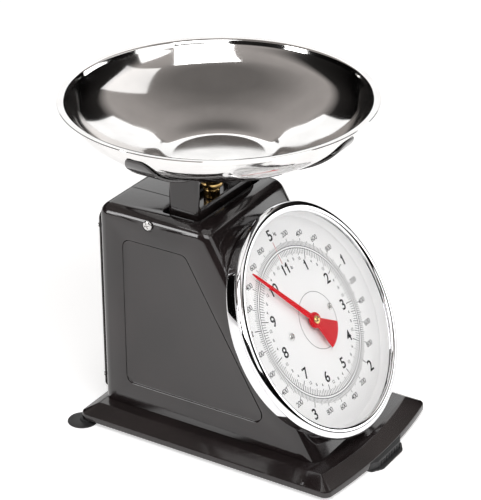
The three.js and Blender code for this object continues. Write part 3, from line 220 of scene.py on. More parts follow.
def fillet(corners: Sequence[Corner], steps: int = 6) -> list[Point]:
    """Rounds the corners of a closed outline.

    Args:
        corners: Each corner's two coordinates and its radius.
        steps: Pieces that each round corner is made of.

    Returns:
        The outline's points.
    """
    points: list[Point] = []
    for i, (x, y, radius) in enumerate(corners):
        here = Vector((x, y))
        if radius <= 0:
            points.append((x, y))
            continue
        before = (Vector(corners[i - 1][:2]) - here)
        after = (Vector(corners[(i + 1) % len(corners)][:2]) - here)
        half = before.angle(after) / 2
        reach = min(radius / math.tan(half), before.length * 0.49, after.length * 0.49)
        start, end = here + before.normalized() * reach, here + after.normalized() * reach
        bow = reach * math.tan(half)
        centre = here + (before.normalized() + after.normalized()).normalized() * (bow / math.sin(half))
        first = math.atan2(start.y - centre.y, start.x - centre.x)
        turn = math.atan2(end.y - centre.y, end.x - centre.x) - first
        turn = (turn + math.pi) % (2 * math.pi) - math.pi
        for k in range(steps + 1):
            a = first + turn * k / steps
            points.append((centre.x + bow * math.cos(a), centre.y + bow * math.sin(a)))
    return points


def rounded_box(x0: float, x1: float, y0: float, y1: float, radius: float, steps: int = 6) -> list[Point]:
    """A rectangle's outline with round corners."""
    return fillet([(x0, y0, radius), (x1, y0, radius), (x1, y1, radius), (x0, y1, radius)], steps)


def spline(points: Sequence[Point], steps: int) -> list[Point]:
    """A smooth open curve through points.

    Args:
        points: Points that the curve passes through.
        steps: Pieces between each two points.

    Returns:
        The curve's points.
    """
    padded = [points[0], *points, points[-1]]
    curve: list[Point] = []
    for i in range(1, len(padded) - 2):
        p0, p1, p2, p3 = (Vector(p) for p in padded[i - 1:i + 3])
        for k in range(steps):
            t = k / steps
            p = 0.5 * (2 * p1 + (p2 - p0) * t + (2 * p0 - 5 * p1 + 4 * p2 - p3) * t * t
                       + (3 * p1 - p0 - 3 * p2 + p3) * t ** 3)
            curve.append((p.x, p.y))
    curve.append(tuple(points[-1]))
    return curve


# --- Mesh work ---


class Workpiece:
    """A mesh in hand, in the millimetres of the place it is made in."""

    def __init__(self) -> None:
        """Starts with nothing."""
        self.bm = bmesh.new()

    def turn(self, profile: Sequence[Point], steps: int = 96) -> "Workpiece":
        """Turns a profile of radius and height about the Z axis.

        Args:
            profile: The section's points; one that starts and ends on the axis is left open there.
            steps: Faces round the axis.

        Returns:
            The workpiece.
        """
        verts = [self.bm.verts.new((r, 0, z)) for r, z in profile]
        edges = [self.bm.edges.new(pair) for pair in zip(verts, verts[1:])]
        if profile[0][0] > 1e-6 or profile[-1][0] > 1e-6:
            edges.append(self.bm.edges.new((verts[-1], verts[0])))
        bmesh.ops.spin(self.bm, geom=verts + edges, cent=(0, 0, 0), axis=(0, 0, 1), dvec=(0, 0, 0),
                       angle=2 * math.pi, steps=steps, use_merge=True, use_duplicate=False)
        bmesh.ops.remove_doubles(self.bm, verts=self.bm.verts, dist=1e-4)
        bmesh.ops.recalc_face_normals(self.bm, faces=self.bm.faces)
        return self

    def plate(self, outline: Sequence[Point], low: float, high: float) -> "Workpiece":
        """Adds a flat plate.

        Args:
            outline: Its outline in X and Y.
            low: Height of its underside.
            high: Height of its top.

        Returns:
            The workpiece.
        """
        verts = [self.bm.verts.new((x, y, low)) for x, y in outline]
        edges = [self.bm.edges.new((a, b)) for a, b in zip(verts, verts[1:] + verts[:1])]
        filled = bmesh.ops.triangle_fill(self.bm, edges=edges, use_beauty=True)
        sheet = [g for g in filled["geom"] if not isinstance(g, bmesh.types.BMVert)]
        inside = [e for e in sheet if isinstance(e, bmesh.types.BMEdge) and e not in edges]
        bmesh.ops.dissolve_edges(self.bm, edges=inside, use_verts=False)
        bottom = set(verts)
        faces = [f for f in self.bm.faces if all(v in bottom for v in f.verts)]
        raised = bmesh.ops.extrude_face_region(self.bm, geom=faces)
        moved = [g for g in raised["geom"] if isinstance(g, bmesh.types.BMVert)]
        bmesh.ops.translate(self.bm, verts=moved, vec=(0, 0, high - low))
        bmesh.ops.recalc_face_normals(self.bm, faces=self.bm.faces)
        return self

    def loft(self, loops: Sequence[Sequence[tuple[float, float, float]]]) -> "Workpiece":
        """Joins loops of points into a closed skin, with the first and last loops filled in.

        Args:
            loops: Closed loops, each with the same number of points.

        Returns:
            The workpiece.
        """
        rings = [[self.bm.verts.new(p) for p in loop] for loop in loops]
        for ring, after in zip(rings, rings[1:]):
            for k in range(len(ring)):
                self.bm.faces.new((ring[k - 1], ring[k], after[k], after[k - 1]))
        self.bm.faces.new(rings[0][::-1])
        self.bm.faces.new(rings[-1])
        bmesh.ops.recalc_face_normals(self.bm, faces=self.bm.faces)
        return self

    def bevel(self, width: float, segments: int = 2, sharper: float = 30.0,
              where: Callable[[Vector], bool] | None = None) -> "Workpiece":
        """Rounds sharp edges.

        Args:
            width: How far back the rounding reaches.
            segments: Its faces.
            sharper: Least angle between an edge's faces, in degrees.
            where: Picks edges by their middle; all when left out.

        Returns:
            The workpiece.
        """
        chosen = [e for e in self.bm.edges
                  if len(e.link_faces) == 2 and e.calc_face_angle(0) > math.radians(sharper)
                  and (where is None or where((e.verts[0].co + e.verts[1].co) / 2))]
        bmesh.ops.bevel(self.bm, geom=chosen, offset=width, offset_type="OFFSET", segments=segments, profile=0.5,
                        affect="EDGES", material=-1, clamp_overlap=False)
        return self

    def move(self, matrix: Matrix) -> "Workpiece":
        """Moves the mesh."""
        bmesh.ops.transform(self.bm, matrix=matrix, verts=self.bm.verts)
        return self

    def add(self, other: "Workpiece") -> "Workpiece":
        """Takes another workpiece's mesh in beside its own."""
        mesh = bpy.data.meshes.new("loose")
        other.bm.to_mesh(mesh)
        other.bm.free()
        self.bm.from_mesh(mesh)
        bpy.data.meshes.remove(mesh)
        return self

    def combine(self, other: "Workpiece", operation: str) -> "Workpiece":
        """Cuts, joins or crosses this solid with another.

        Args:
            other: The other solid, used up.
            operation: DIFFERENCE, UNION or INTERSECT.

        Returns:
            The workpiece.
        """
        pair = []
        for piece in (self, other):
            mesh = bpy.data.meshes.new("solid")
            piece.bm.to_mesh(mesh)
            piece.bm.free()
            solid = bpy.data.objects.new("solid", mesh)
            bpy.context.collection.objects.link(solid)
            pair.append(solid)
        modifier = pair[0].modifiers.new("combine", "BOOLEAN")
        modifier.operation = operation
        modifier.solver = "EXACT"
        modifier.object = pair[1]
        result = bpy.data.meshes.new_from_object(pair[0].evaluated_get(bpy.context.evaluated_depsgraph_get()))
        self.bm = bmesh.new()
        self.bm.from_mesh(result)
        for solid in pair:
            mesh = solid.data
            bpy.data.objects.remove(solid)
            bpy.data.meshes.remove(mesh)
        bpy.data.meshes.remove(result)
        bmesh.ops.remove_doubles(self.bm, verts=self.bm.verts, dist=1e-4)
        bmesh.ops.dissolve_limit(self.bm, angle_limit=math.radians(0.5), verts=self.bm.verts, edges=self.bm.edges)
        return self

    def cut(self, *others: "Workpiece") -> "Workpiece":
        """Cuts other solids out of this one."""
        for other in others:
            self.combine(other, "DIFFERENCE")
        return self

    def finish(self, name: str, place: Matrix, finish: Finish, body: str, *nodes: str,
               slot: str = "", smooth: float = 35.0) -> bpy.types.Object:
        """Makes the mesh a finished piece of the scale.

        Args:
            name: The piece's name.
            place: Where it stands.
            finish: Its surface finish.
            body: The body that it moves with.
            nodes: The simpler pieces that it stands for.
            slot: The record's slot of its material; not used.
            smooth: Angle under which faces are shaded as one, in degrees.

        Returns:
            The object.
        """
        self.move(place)
        mesh = bpy.data.meshes.new(name)
        self.bm.to_mesh(mesh)
        self.bm.free()
        mesh.shade_smooth()
        mesh.set_sharp_from_angle(angle=math.radians(smooth))
        mesh.materials.append(finish.make())
        piece = bpy.data.objects.new(name, mesh)
        bpy.context.collection.objects.link(piece)
        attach(piece, body)
        if nodes:
            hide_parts(*nodes)
        log.info("%s: %d faces", name, len(mesh.polygons))
        return piece


def solid_block(x0: float, x1: float, y0: float, y1: float, z0: float, z1: float) -> Workpiece:
    """A block between limits along X, Y and Z."""
    return Workpiece().plate([(x0, y0), (x1, y0), (x1, y1), (x0, y1)], z0, z1)


def round_bar(radius: float, z0: float, z1: float, steps: int = 32) -> Workpiece:
    """A round bar on the Z axis."""
    return Workpiece().turn([(0, z0), (radius, z0), (radius, z1), (0, z1)], steps)


SIDEWAYS = Matrix(((0, 0, 1, 0), (1, 0, 0, 0), (0, 1, 0, 0), (0, 0, 0, 1)))
"""Turns a plate drawn in X and Y into one drawn in Y and Z, its thickness along X."""


def cross_head(radius: float, height: float) -> Workpiece:
    """A domed screw head with a cross recess and a short shank.

    Args:
        radius: The head's radius.
        height: The head's height.

    Returns:
        The head, seated at Z = 0.
    """
    dome = [(radius * math.sin(t), height * (0.35 + 0.65 * math.cos(t))) for t in
            (math.pi / 2 * k / 8 for k in range(9))]
    head = Workpiece().turn([*dome, (radius, 0), (radius * 0.42, 0), (radius * 0.42, -radius), (0, -radius)], 40)
    for turn in (0.0, math.pi / 2):
        arm = solid_block(-radius * 0.62, radius * 0.62, -radius * 0.13, radius * 0.13, height * 0.35, height * 2)
        head.cut(arm.move(Matrix.Rotation(turn + 0.35, 4, "Z")))
    return head


# --- Dish and its carrier ---


@dataclass
class DishAndSpider:
    """The weighing dish and the four-armed spider that carries it.

    Attributes:
        radius: The dish's radius.
        rim_top: Height of the rim's top.
        bottom: Height of the dish's underside.
        wall: Thickness of the dish.
        form: Underside as shares of the radius and of the rise.
        arm_length: Reach of an arm.
        arm_width: Width of an arm.
        arm_thickness: Thickness of an arm.
        tip: Corner radius of an arm's end.
    """

    radius: float = 125.0
    rim_top: float = 275.4
    bottom: float = 224.3
    wall: float = 1.2
    form: tuple[Point, ...] = ((0.3, 0), (0.36, 0.025), (0.44, 0.11), (0.6, 0.24), (0.76, 0.425), (0.88, 0.655),
                               (0.952, 0.93))
    arm_length: float = 116.0
    arm_width: float = 25.0
    arm_thickness: float = 2.2
    tip: float = 8.0

    def curve(self) -> list[Point]:
        """The underside from the flat floor's edge to the rim."""
        rise = self.rim_top - self.wall - self.bottom
        return spline([(r * self.radius, self.bottom + h * rise) for r, h in self.form], 8)

    def under(self, radius: float) -> float:
        """Height of the underside at a distance from the axis."""
        curve = self.curve()
        if radius <= curve[0][0]:
            return self.bottom
        for (r0, z0), (r1, z1) in zip(curve, curve[1:]):
            if radius <= r1:
                return z0 + (z1 - z0) * (radius - r0) / (r1 - r0)
        return curve[-1][1]

    def build(self, place: Matrix) -> None:
        """Makes the dish and the spider.

        Args:
            place: Place of the scale's frame.
        """
        self.make_dish(place)
        self.make_spider(place)

    def make_dish(self, place: Matrix) -> None:
        """Spins the dish: a flat floor, a rising wall and a flat rim with a rolled edge."""
        outside = self.curve()
        inside = [(r - self.wall * 0.35, z + self.wall) for r, z in reversed(outside)]
        top = self.rim_top
        seam = [(119.6, top - 1.9), (120.3, top - 1.35), (124.0, top - 1.3), (124.7, top - 1.1), (125.0, top - 0.6),
                (124.7, top - 0.1), (124.0, top), (120.2, top - 0.25), (119.5, top - 0.55), (119.1, top - 1.1)]
        profile = [(0, self.bottom), (36.2, self.bottom), *outside[1:], *seam, *inside[:-1],
                   (35.8, self.bottom + self.wall), (0, self.bottom + self.wall)]
        Workpiece().turn(profile, 160).finish("dish_fine", place, DISH_STEEL, "dish", "dish",
                                              slot="polished_steel")

    def make_spider(self, place: Matrix) -> None:
        """Cuts the cross from sheet, bends it to the dish and rounds its edges."""
        w, reach, inner = self.arm_width / 2, self.arm_length, 7.0
        outline = []
        for k in range(4):
            a = k * math.pi / 2
            for x, y, r in ((-w, -reach, self.tip), (w, -reach, self.tip), (w, -w, inner)):
                outline.append((x * math.cos(a) - y * math.sin(a), x * math.sin(a) + y * math.cos(a), r))
        cross = Workpiece().plate(fillet(outline, 6), -self.arm_thickness, 0)
        knots = [r for r, _ in self.curve()[::2] if r < reach]
        for axis in ((1, 0, 0), (0, 1, 0)):
            for knot in [-r for r in knots] + knots:
                bmesh.ops.bisect_plane(cross.bm, geom=cross.bm.verts[:] + cross.bm.edges[:] + cross.bm.faces[:],
                                       dist=1e-4, plane_co=[c * knot for c in axis], plane_no=axis)
        cross.bevel(0.5, 2, 60)
        for vert in cross.bm.verts:
            vert.co.z += self.under(max(abs(vert.co.x), abs(vert.co.y))) - 0.35
        cross.finish("spider_fine", place, ENAMEL, "platform", "spider", slot="black_enamel")


# --- Column and knob ---


@dataclass
class SlidingColumn:
    """The sheet-metal column that slides in the casing, with a window onto the zero knob.

    Attributes:
        half: Half its width.
        front: Y of its front.
        back: Y of its back.
        wall: Its sheet's thickness.
        skirt: Height of the tube's lower edge.
        top: Height of its top.
        window_half: Half the window's width.
        window_low: Height of the window's sill.
        window_high: Height of the window's head.
    """

    half: float = 42.0
    front: float = -6.0
    back: float = 21.0
    wall: float = 1.6
    skirt: float = 172.0
    top: float = 221.5
    window_half: float = 38.0
    window_low: float = 194.5
    window_high: float = 216.0

    def build(self, place: Matrix) -> None:
        """Makes the column and the knob.

        Args:
            place: Place of the scale's frame.
        """
        w = self.wall
        outline = rounded_box(-self.half, self.half, self.front, self.back, 3)
        tube = Workpiece().plate(outline, self.skirt, self.top)
        bore = Workpiece().plate(rounded_box(-self.half + w, self.half - w, self.front + w, self.back - w, 2),
                                 self.skirt - 5, self.top - w)
        tube.bevel(1.2, 3, 60, lambda p: p.z > self.top - 0.1)
        window = Workpiece().plate(rounded_box(-self.window_half, self.window_half, self.window_low,
                                               self.window_high, 3), -60, 60)
        tube.cut(bore, window.move(Matrix.Rotation(math.pi / 2, 4, "X")))
        tube.bevel(0.35, 2, 60, lambda p: self.window_low - 0.5 < p.z < self.window_high + 0.5
                   and abs(p.x) < self.window_half + 0.1)
        legs = [solid_block(s * self.half - (s > 0) * w, s * self.half + (s < 0) * w, -0.5, 15.5, 50, self.skirt)
                for s in (-1, 1)]
        for leg in legs:
            tube.add(leg.bevel(0.3, 2, 60))
        tube.finish("column_fine", place, ENAMEL, "platform", "column", slot="black_enamel")
        self.make_knob(place)

    def make_knob(self, place: Matrix) -> None:
        """Turns the brass knob, with a plain flange over a fluted grip."""
        body = Workpiece().turn([(2.8, 187.5), (5.9, 187.5), (6.5, 188.0), (6.6, 188.6), (6.6, 194.6), (6.3, 195.2),
                                 (5.8, 195.6), (5.8, 197.3), (6.2, 197.8), (8.7, 197.8), (9.1, 198.1), (9.2, 198.6),
                                 (9.2, 201.0), (9.0, 201.5), (8.5, 201.8), (2.8, 201.8)], 72)
        for k in range(18):
            flute = round_bar(0.42, 186, 195.4, 8)
            angle = k * math.pi / 9
            spot = (6.75 * math.cos(angle), 6.75 * math.sin(angle), 0)
            body.cut(flute.move(Matrix.Translation(spot)))
        body.finish("zero_knob_fine", at(place, 0, 7.5, 0), BRASS, "knob", "zero_knob", slot="brass")


# --- Casing ---


@dataclass
class Casing:
    """The pressed-steel casing with its back cover and side screws.

    Attributes:
        half: Half its width.
        top: Height of its top.
        back: Y of its back.
        low: Height of its lower edge.
        edge: Radius of its long edges.
        corner: Radius of its top corners, seen from the side.
        wall: Thickness of its sheet.
        panel_recess: Depth of the pressed field on each side.
        slope_depth: How far the sloping front stands behind the dial's front.
    """

    half: float = 59.3
    top: float = 188.4
    back: float = 77.5
    low: float = 12.7
    edge: float = 9.0
    corner: float = 9.5
    wall: float = 2.0
    panel_recess: float = 0.9
    slope_depth: float = 20.8

    def slope_y(self, depth: float, z: float) -> float:
        """Y of the sloping front at a height, so far behind the dial's front."""
        return -94.7 + depth / math.cos(TILT) + (z - 106.7) * math.tan(TILT)

    def profile(self, inset: float, steps: int = 6) -> list[Point]:
        """The casing's side view, drawn in by an inset.

        Args:
            inset: How far inside the outer surface.
            steps: Pieces of each round corner.

        Returns:
            Points as Y and Z.
        """
        depth, top, back = self.slope_depth + inset, self.top - inset, self.back - inset
        low, radius = self.low - 20, self.corner - inset
        return fillet([(self.slope_y(depth, low), low, 0), (back, low, 0), (back, top, radius),
                       (self.slope_y(depth, top), top, radius + 4)], steps)

    def form(self, inset: float) -> Workpiece:
        """The casing's filled form, drawn in by an inset, with round side edges."""
        half = self.half - inset
        block = Workpiece().plate(self.profile(inset), -half, half)
        block.bevel(self.edge - inset, 4, 60, lambda p: abs(abs(p.z) - half) < 0.01 and p.y > self.low - 19)
        return block.move(SIDEWAYS)

    def panel(self, side: int) -> Workpiece:
        """The tool that presses the field into one side wall.

        Args:
            side: -1 for the left wall, 1 for the right.

        Returns:
            The tool.
        """
        depth = self.slope_depth + 29
        outline = fillet([(self.slope_y(depth, 34), 34, 7), (self.back - 24, 34, 7), (self.back - 24, 163, 7),
                          (self.slope_y(depth, 163), 163, 7)], 8)
        outer, inner = self.half + 1, self.half - self.panel_recess
        span = (-outer, -inner) if side < 0 else (inner, outer)
        tool = Workpiece().plate(outline, *span)
        tool.bevel(self.panel_recess * 0.8, 3, 60, lambda p: abs(abs(p.z) - inner) < 0.01)
        return tool.move(SIDEWAYS)

    def build(self, place: Matrix) -> None:
        """Makes the casing, its cover and its screws.

        Args:
            place: Place of the scale's frame.
        """
        shell = self.form(0)
        opening = Workpiece().plate(rounded_box(-46, 46, -10, 25, 4), self.top - 10, self.top + 10)
        rear = solid_block(-50, 50, self.back - 5, self.back + 5, 22, 174)
        dial = round_bar(34, -40, -15, 48).move(Matrix.Translation((0, -94.7, 106.7))
                                                @ Matrix.Rotation(math.pi / 2 - TILT, 4, "X"))
        floor = solid_block(-200, 200, -300, 300, -100, self.low)
        groove = Workpiece().plate(rounded_box(-20.2, -19.2, 33, 70, 0.4), self.top - 0.5, self.top + 5)
        shell.cut(self.panel(-1), self.panel(1), floor, groove)
        wall = self.half
        shell.bevel(1.3, 3, 20, lambda p: abs(abs(p.x) - wall) < 0.01 and 33 < p.z < 164
                    and p.y < self.back - 20)
        shell.cut(opening)
        for side in (-1, 1):
            dimple = round_bar(5.6, self.half - 0.5, self.half + 3, 40).bevel(0.4, 2, 60)
            shell.cut(dimple.move(Matrix.Translation((0, 28.5, 181.2))
                                  @ Matrix.Rotation(side * math.pi / 2, 4, "Y")))
        shell.bevel(0.7, 3, 60, lambda p: abs(p.z - self.top) < 0.01 and abs(p.x) < 47 and -11 < p.y < 26)
        shell.cut(self.form(self.wall), rear, dial)
        shell.finish("casing_fine", place, ENAMEL, "base", "casing_shell", slot="black_enamel")
        self.make_cover(place)
        for side, hand in ((-1, "left"), (1, "right")):
            spot = at(place, side * (self.half + 0.3), 28.5, 181.2) @ Matrix.Rotation(side * math.pi / 2, 4, "Y")
            cross_head(4.0, 1.9).finish(f"side_screw_{hand}_fine", spot, SCREW_CHROME, "base",
                                        f"side_screw_{hand}", slot="chrome")

    def make_cover(self, place: Matrix) -> None:
        """Makes the flat cover on the back and its four screws."""
        cover = Workpiece().plate(rounded_box(-54, 54, 18, 178, 6), 0, 1.5).bevel(0.4, 2, 60)
        face = self.back + 0.3
        stand = at(place, 0, face + 1.5, 0) @ Matrix.Rotation(math.pi / 2, 4, "X")
        cover.finish("rear_cover_fine", stand, ENAMEL, "base", "rear_cover", slot="black_enamel")
        spots = [(-51.9, 30.1), (-51.9, 165.9), (51.9, 30.1), (51.9, 165.9)]
        for i, (x, z) in enumerate(spots, 1):
            spot = at(place, x, face + 1.8, z) @ Matrix.Rotation(-math.pi / 2, 4, "X")
            cross_head(2.2, 1.5).finish(f"rear_cover_screw_{i}_fine", spot, SCREW_CHROME, "base",
                                        f"rear_cover_screw_{i}", slot="zinc_steel")


# --- Base and feet ---


@dataclass
class BaseAndFeet:
    """The flared base with its rubber feet.

    Attributes:
        half: Half its width.
        front: Y of its front corners.
        back: Y of its back.
        bow: How far the front bulges.
        lip: Height of the upright lip.
        top: Height of the flat top.
        flare: Width of the sloping flare.
        lift: How far the feet hold it off the table.
    """

    half: float = 81.3
    front: float = -146.6
    back: float = 87.0
    bow: float = 7.6
    lip: float = 5.7
    top: float = 12.4
    flare: float = 12.3
    lift: float = 3.2

    def outline(self, inset: float, corner: float) -> list[Point]:
        """The base's outline, drawn in by an inset: straight sides and back, a front that bulges.

        Args:
            inset: How far inside the outer edge.
            corner: Radius of the corners.

        Returns:
            The outline's points, always as many.
        """
        half, front, back = self.half - inset, self.front + inset, self.back - inset
        bulge = [(-half + 2 * half * t / 24, front - self.bow * 4 * (t / 24) * (1 - t / 24) * 0.97, 0.0)
                 for t in range(2, 23)]
        return fillet([(half, back, corner), (-half, back, corner), (-half, front, corner), *bulge,
                       (half, front, corner)], 8)

    def build(self, place: Matrix) -> None:
        """Makes the base and its feet.

        Args:
            place: Place of the scale's frame.
        """
        levels = [(0.5, 0.0), (0.0, 0.5), (0.0, self.lip - 1.1), (0.35, self.lip - 0.3), (1.2, self.lip),
                  (self.flare - 0.8, self.top - 0.35), (self.flare + 0.4, self.top)]
        loops = [[(x, y, z) for x, y in self.outline(inset, max(0.9, 7 - inset * 0.5))] for inset, z in levels]
        under = [(self.flare + 1, self.top - 1.6), (1.9, self.lip - 1.6), (1.5, self.lip - 2.0), (1.5, 0.0)]
        inner = [[(x, y, z) for x, y in self.outline(inset, max(0.9, 7 - inset * 0.5))] for inset, z in under]
        shell = Workpiece().loft([*loops[::-1], *inner[::-1]])
        for side in (-1, 1):
            flange = solid_block(min(side * 57, side * 79.9), max(side * 57, side * 79.9), 63, 85.6, 2.2, 3.7)
            shell.add(flange)
        notch = solid_block(-25.3, 25.3, -170, -146, -2, 4.7)
        shell.cut(notch)
        shell.finish("base_fine", place, ENAMEL, "base", "base_plate", slot="black_enamel")
        self.make_front_foot(place)
        for side, hand in ((-1, "left"), (1, "right")):
            self.make_rear_foot(place, side, hand)

    def make_rear_foot(self, place: Matrix, side: int, hand: str) -> None:
        """Makes a soft round lobe with a plug that holds in the base.

        Args:
            place: Place of the scale's frame.
            side: -1 for the left foot, 1 for the right.
            hand: The side's name.
        """
        t = -self.lift
        lobe = Workpiece().turn([(0, t + 0.6), (9.2, t + 0.4), (10.4, t), (12.0, t), (12.4, t + 0.25),
                                 (12.5, t + 0.55), (12.2, t + 1.05), (10.5, t + 1.35), (6.6, t + 1.55),
                                 (0, t + 1.6)], 56).move(Matrix.Translation((side * 79, 85, 0)))
        neck = round_bar(5.5, t + 0.8, -0.3, 32).bevel(0.5, 2, 60).move(Matrix.Translation((side * 76.5, 82.5, 0)))
        plug = Workpiece().turn([(0, t + 0.8), (4.5, t + 0.8), (4.5, 1.9), (3, 1.9), (3, 4.0), (4, 4.0), (3.3, 5.2),
                                 (0, 5.5)], 32).move(Matrix.Translation((side * 71, 77, 0)))
        lobe.combine(neck, "UNION").combine(plug, "UNION")
        lobe.finish(f"rear_foot_{hand}_fine", place, RUBBER, "base", f"rear_foot_{hand}", slot="black_rubber")

    def make_front_foot(self, place: Matrix) -> None:
        """Makes the wide front foot: a flange under a ribbed block."""
        t, front = -self.lift, self.front - self.bow - 6.5
        face, back = front + 3.6, front + 30
        body = Workpiece().plate(fillet([(25, back, 2), (-25, back, 2), (-25, face + 4, 2), (-18, face, 4),
                                         (18, face, 4), (25, face + 4, 2)], 6), t, t + 7.6)
        body.bevel(0.7, 3, 60, lambda p: p.z > t + 7.5)
        flange = Workpiece().plate(fillet([(25, back, 2), (-25, back, 2), (-25, front + 6, 2), (-16, front, 5),
                                           (16, front, 5), (25, front + 6, 2)], 6), t, t + 1.4).bevel(0.35, 2, 60)
        body.combine(flange, "UNION")
        for k in range(9):
            x = -17 + 4.25 * k
            body.add(solid_block(x - 0.6, x + 0.6, face - 0.6, face + 1, t + 1.0, t + 5.6).bevel(0.25, 2, 60))
        for x in (-18, 18):
            body.add(round_bar(3, t + 6, t + 10, 24).move(Matrix.Translation((x, front + 18, 0))))
        body.finish("front_foot_fine", place, RUBBER, "base", "front_foot", slot="black_rubber")


# --- Dial ---


class Marking(Enum):
    """What a mark on the dial is drawn in; the grey also paints the shadow of the lens's centre ring."""

    BLACK = "black"
    GREY = "grey"
    RED = "red"


INKS: dict[Marking, Finish] = {Marking.BLACK: INK, Marking.GREY: GREY_INK_AND_PAINTED_SHADE, Marking.RED: RED_INK}


@dataclass
class Dial:
    """The round dial: drum, bezel, lens, printed plate, screws and pointer.

    Attributes:
        bezel: Radius of the bezel.
        opening: Radius of the bezel's opening.
        drum: Radius of the drum.
        drum_depth: How deep the drum goes behind the bezel's front.
        plate_depth: How deep the printed face lies.
        plate: Radius of the printed plate.
        reading: Where the pointer stands, in degrees clockwise.
        ring: Radii of the two printed circles between the scales.
        prints: Marks drawn so far, by ink; the grey ones include the painted shadow of the lens's centre ring.
    """

    bezel: float = 96.3
    opening: float = 87.3
    drum: float = 90.6
    drum_depth: float = 20.5
    plate_depth: float = 12.6
    plate: float = 87.0
    reading: float = 323.5
    ring: Point = (60.0, 62.0)
    prints: dict[Marking, Workpiece] = field(default_factory=dict)

    def build(self, place: Matrix) -> None:
        """Makes the whole dial.

        Args:
            place: Place of the dial's frame.
        """
        self.make_drum(place)
        self.make_bezel(place)
        self.make_lens(place)
        self.make_plate(place)
        self.make_pointer(place)

    def make_drum(self, place: Matrix) -> None:
        """Spins the drum that stands on the casing's sloping front."""
        r, b = self.drum, -self.drum_depth
        Workpiece().turn([(4, b), (r - 2.4, b), (r - 1.2, b + 0.35), (r - 0.35, b + 1.2), (r, b + 2.4), (r, -5.5),
                          (r - 1.2, -5.5), (r - 1.2, b + 2.4), (r - 2.4, b + 1.2), (4, b + 1.2)],
                         160).finish("drum_fine", place, CHROME, "base", "dial_drum", slot="chrome")

    def make_bezel(self, place: Matrix) -> None:
        """Spins the bezel: one rolled arch from the lens to its edge, and a skirt over the drum."""
        o, i = self.bezel, self.opening
        arch = [(i + 3.4 - 3.4 * math.cos(a), -2.0 + 2.0 * math.sin(a)) for a in
                (math.pi / 2 * k / 10 for k in range(10))]
        roll = [(i + 3.4 + (o - i - 3.4) * math.sin(a), -3.8 + 3.8 * math.cos(a)) for a in
                (math.radians(112) * k / 18 for k in range(19))]
        profile = [*arch, *roll, (self.drum + 1.2, -9.2), (self.drum + 0.4, -9.5), (self.drum + 0.4, -4.6),
                   (i + 2.0, -4.6), (i + 2.0, -2.6), (i, -2.6)]
        Workpiece().turn(profile, 160).finish("bezel_fine", place, CHROME, "base", "bezel_ring", slot="chrome")

    def make_lens(self, place: Matrix) -> None:
        """Spins the slightly crowned lens."""
        edge, crown, front, thick = 88.9, 1.4, -2.2, 1.6
        outer = [(edge * k / 12, front + crown * (1 - (k / 12) ** 2)) for k in range(13)]
        inner = [(r, z - thick - 0.3) for r, z in reversed(outer)]
        Workpiece().turn([*outer, *inner], 128).finish("lens_fine", place, LENS, "base", "dial_lens",
                                                       slot="clear_lens", smooth=50)

    def make_plate(self, place: Matrix) -> None:
        """Makes the printed plate, the white wall round it and its two screws."""
        d = -self.plate_depth
        plate = Workpiece().turn([(3.0, d - 0.8), (self.plate - 0.2, d - 0.8), (self.plate, d - 0.6),
                                  (self.plate, d - 0.15), (self.plate - 0.15, d), (3.0, d)], 128)
        plate.finish("dial_plate_fine", place, DIAL_WHITE, "base", "dial_plate", slot="dial_white")
        wall = [(self.plate - 1.8, d + 0.3), (self.plate - 0.9, d + 0.6), (self.plate + 0.3, d + 3.2),
                (self.plate + 1.2, -5.0), (self.plate + 1.5, -4.9), (self.plate + 0.6, d + 3.1),
                (self.plate - 0.4, d + 0.3)]
        Workpiece().turn(wall[::-1], 128).finish("lens_spacer_fine", place, SPACER_WHITE, "base", "lens_spacer",
                                                 slot="white_plastic")
        for side, hand in ((-1, "left"), (1, "right")):
            spot = at(place, side * 29.5, 0, d + 0.3)
            cross_head(2.9, 1.4).finish(f"dial_screw_{hand}_fine", spot, SCREW_CHROME, "base", f"dial_screw_{hand}",
                                        slot="chrome")
        self.print_scales()
        # The grey print object also carries the painted shadow of the lens's centre ring.
        for ink, print_work in self.prints.items():
            print_work.finish(f"dial_print_{ink.value}", place, INKS[ink], "base", slot="dial_white")

    def ink(self, marking: Marking) -> Workpiece:
        """The workpiece that gathers all marks of one ink."""
        return self.prints.setdefault(marking, Workpiece())

    def tick(self, marking: Marking, clockwise: float, r0: float, r1: float, width: float) -> None:
        """Prints a straight mark along a radius.

        Args:
            marking: Its ink.
            clockwise: Its angle in degrees, clockwise from the top.
            r0: Its inner radius.
            r1: Its outer radius.
            width: Its width.
        """
        d = -self.plate_depth
        block = solid_block(-width / 2, width / 2, r0, r1, d + 0.02, d + 0.06)
        self.ink(marking).add(block.move(Matrix.Rotation(-math.radians(clockwise), 4, "Z")))

    def circle(self, marking: Marking, radius: float, width: float, x: float = 0.0, y: float = 0.0) -> None:
        """Draws a thin circle in one ink, for printed rings and for the painted shadow of the lens's centre ring."""
        d = -self.plate_depth
        ring = Workpiece().turn([(radius - width / 2, d + 0.02), (radius + width / 2, d + 0.02),
                                 (radius + width / 2, d + 0.06), (radius - width / 2, d + 0.06)], 160)
        self.ink(marking).add(ring.move(Matrix.Translation((x, y, 0))))

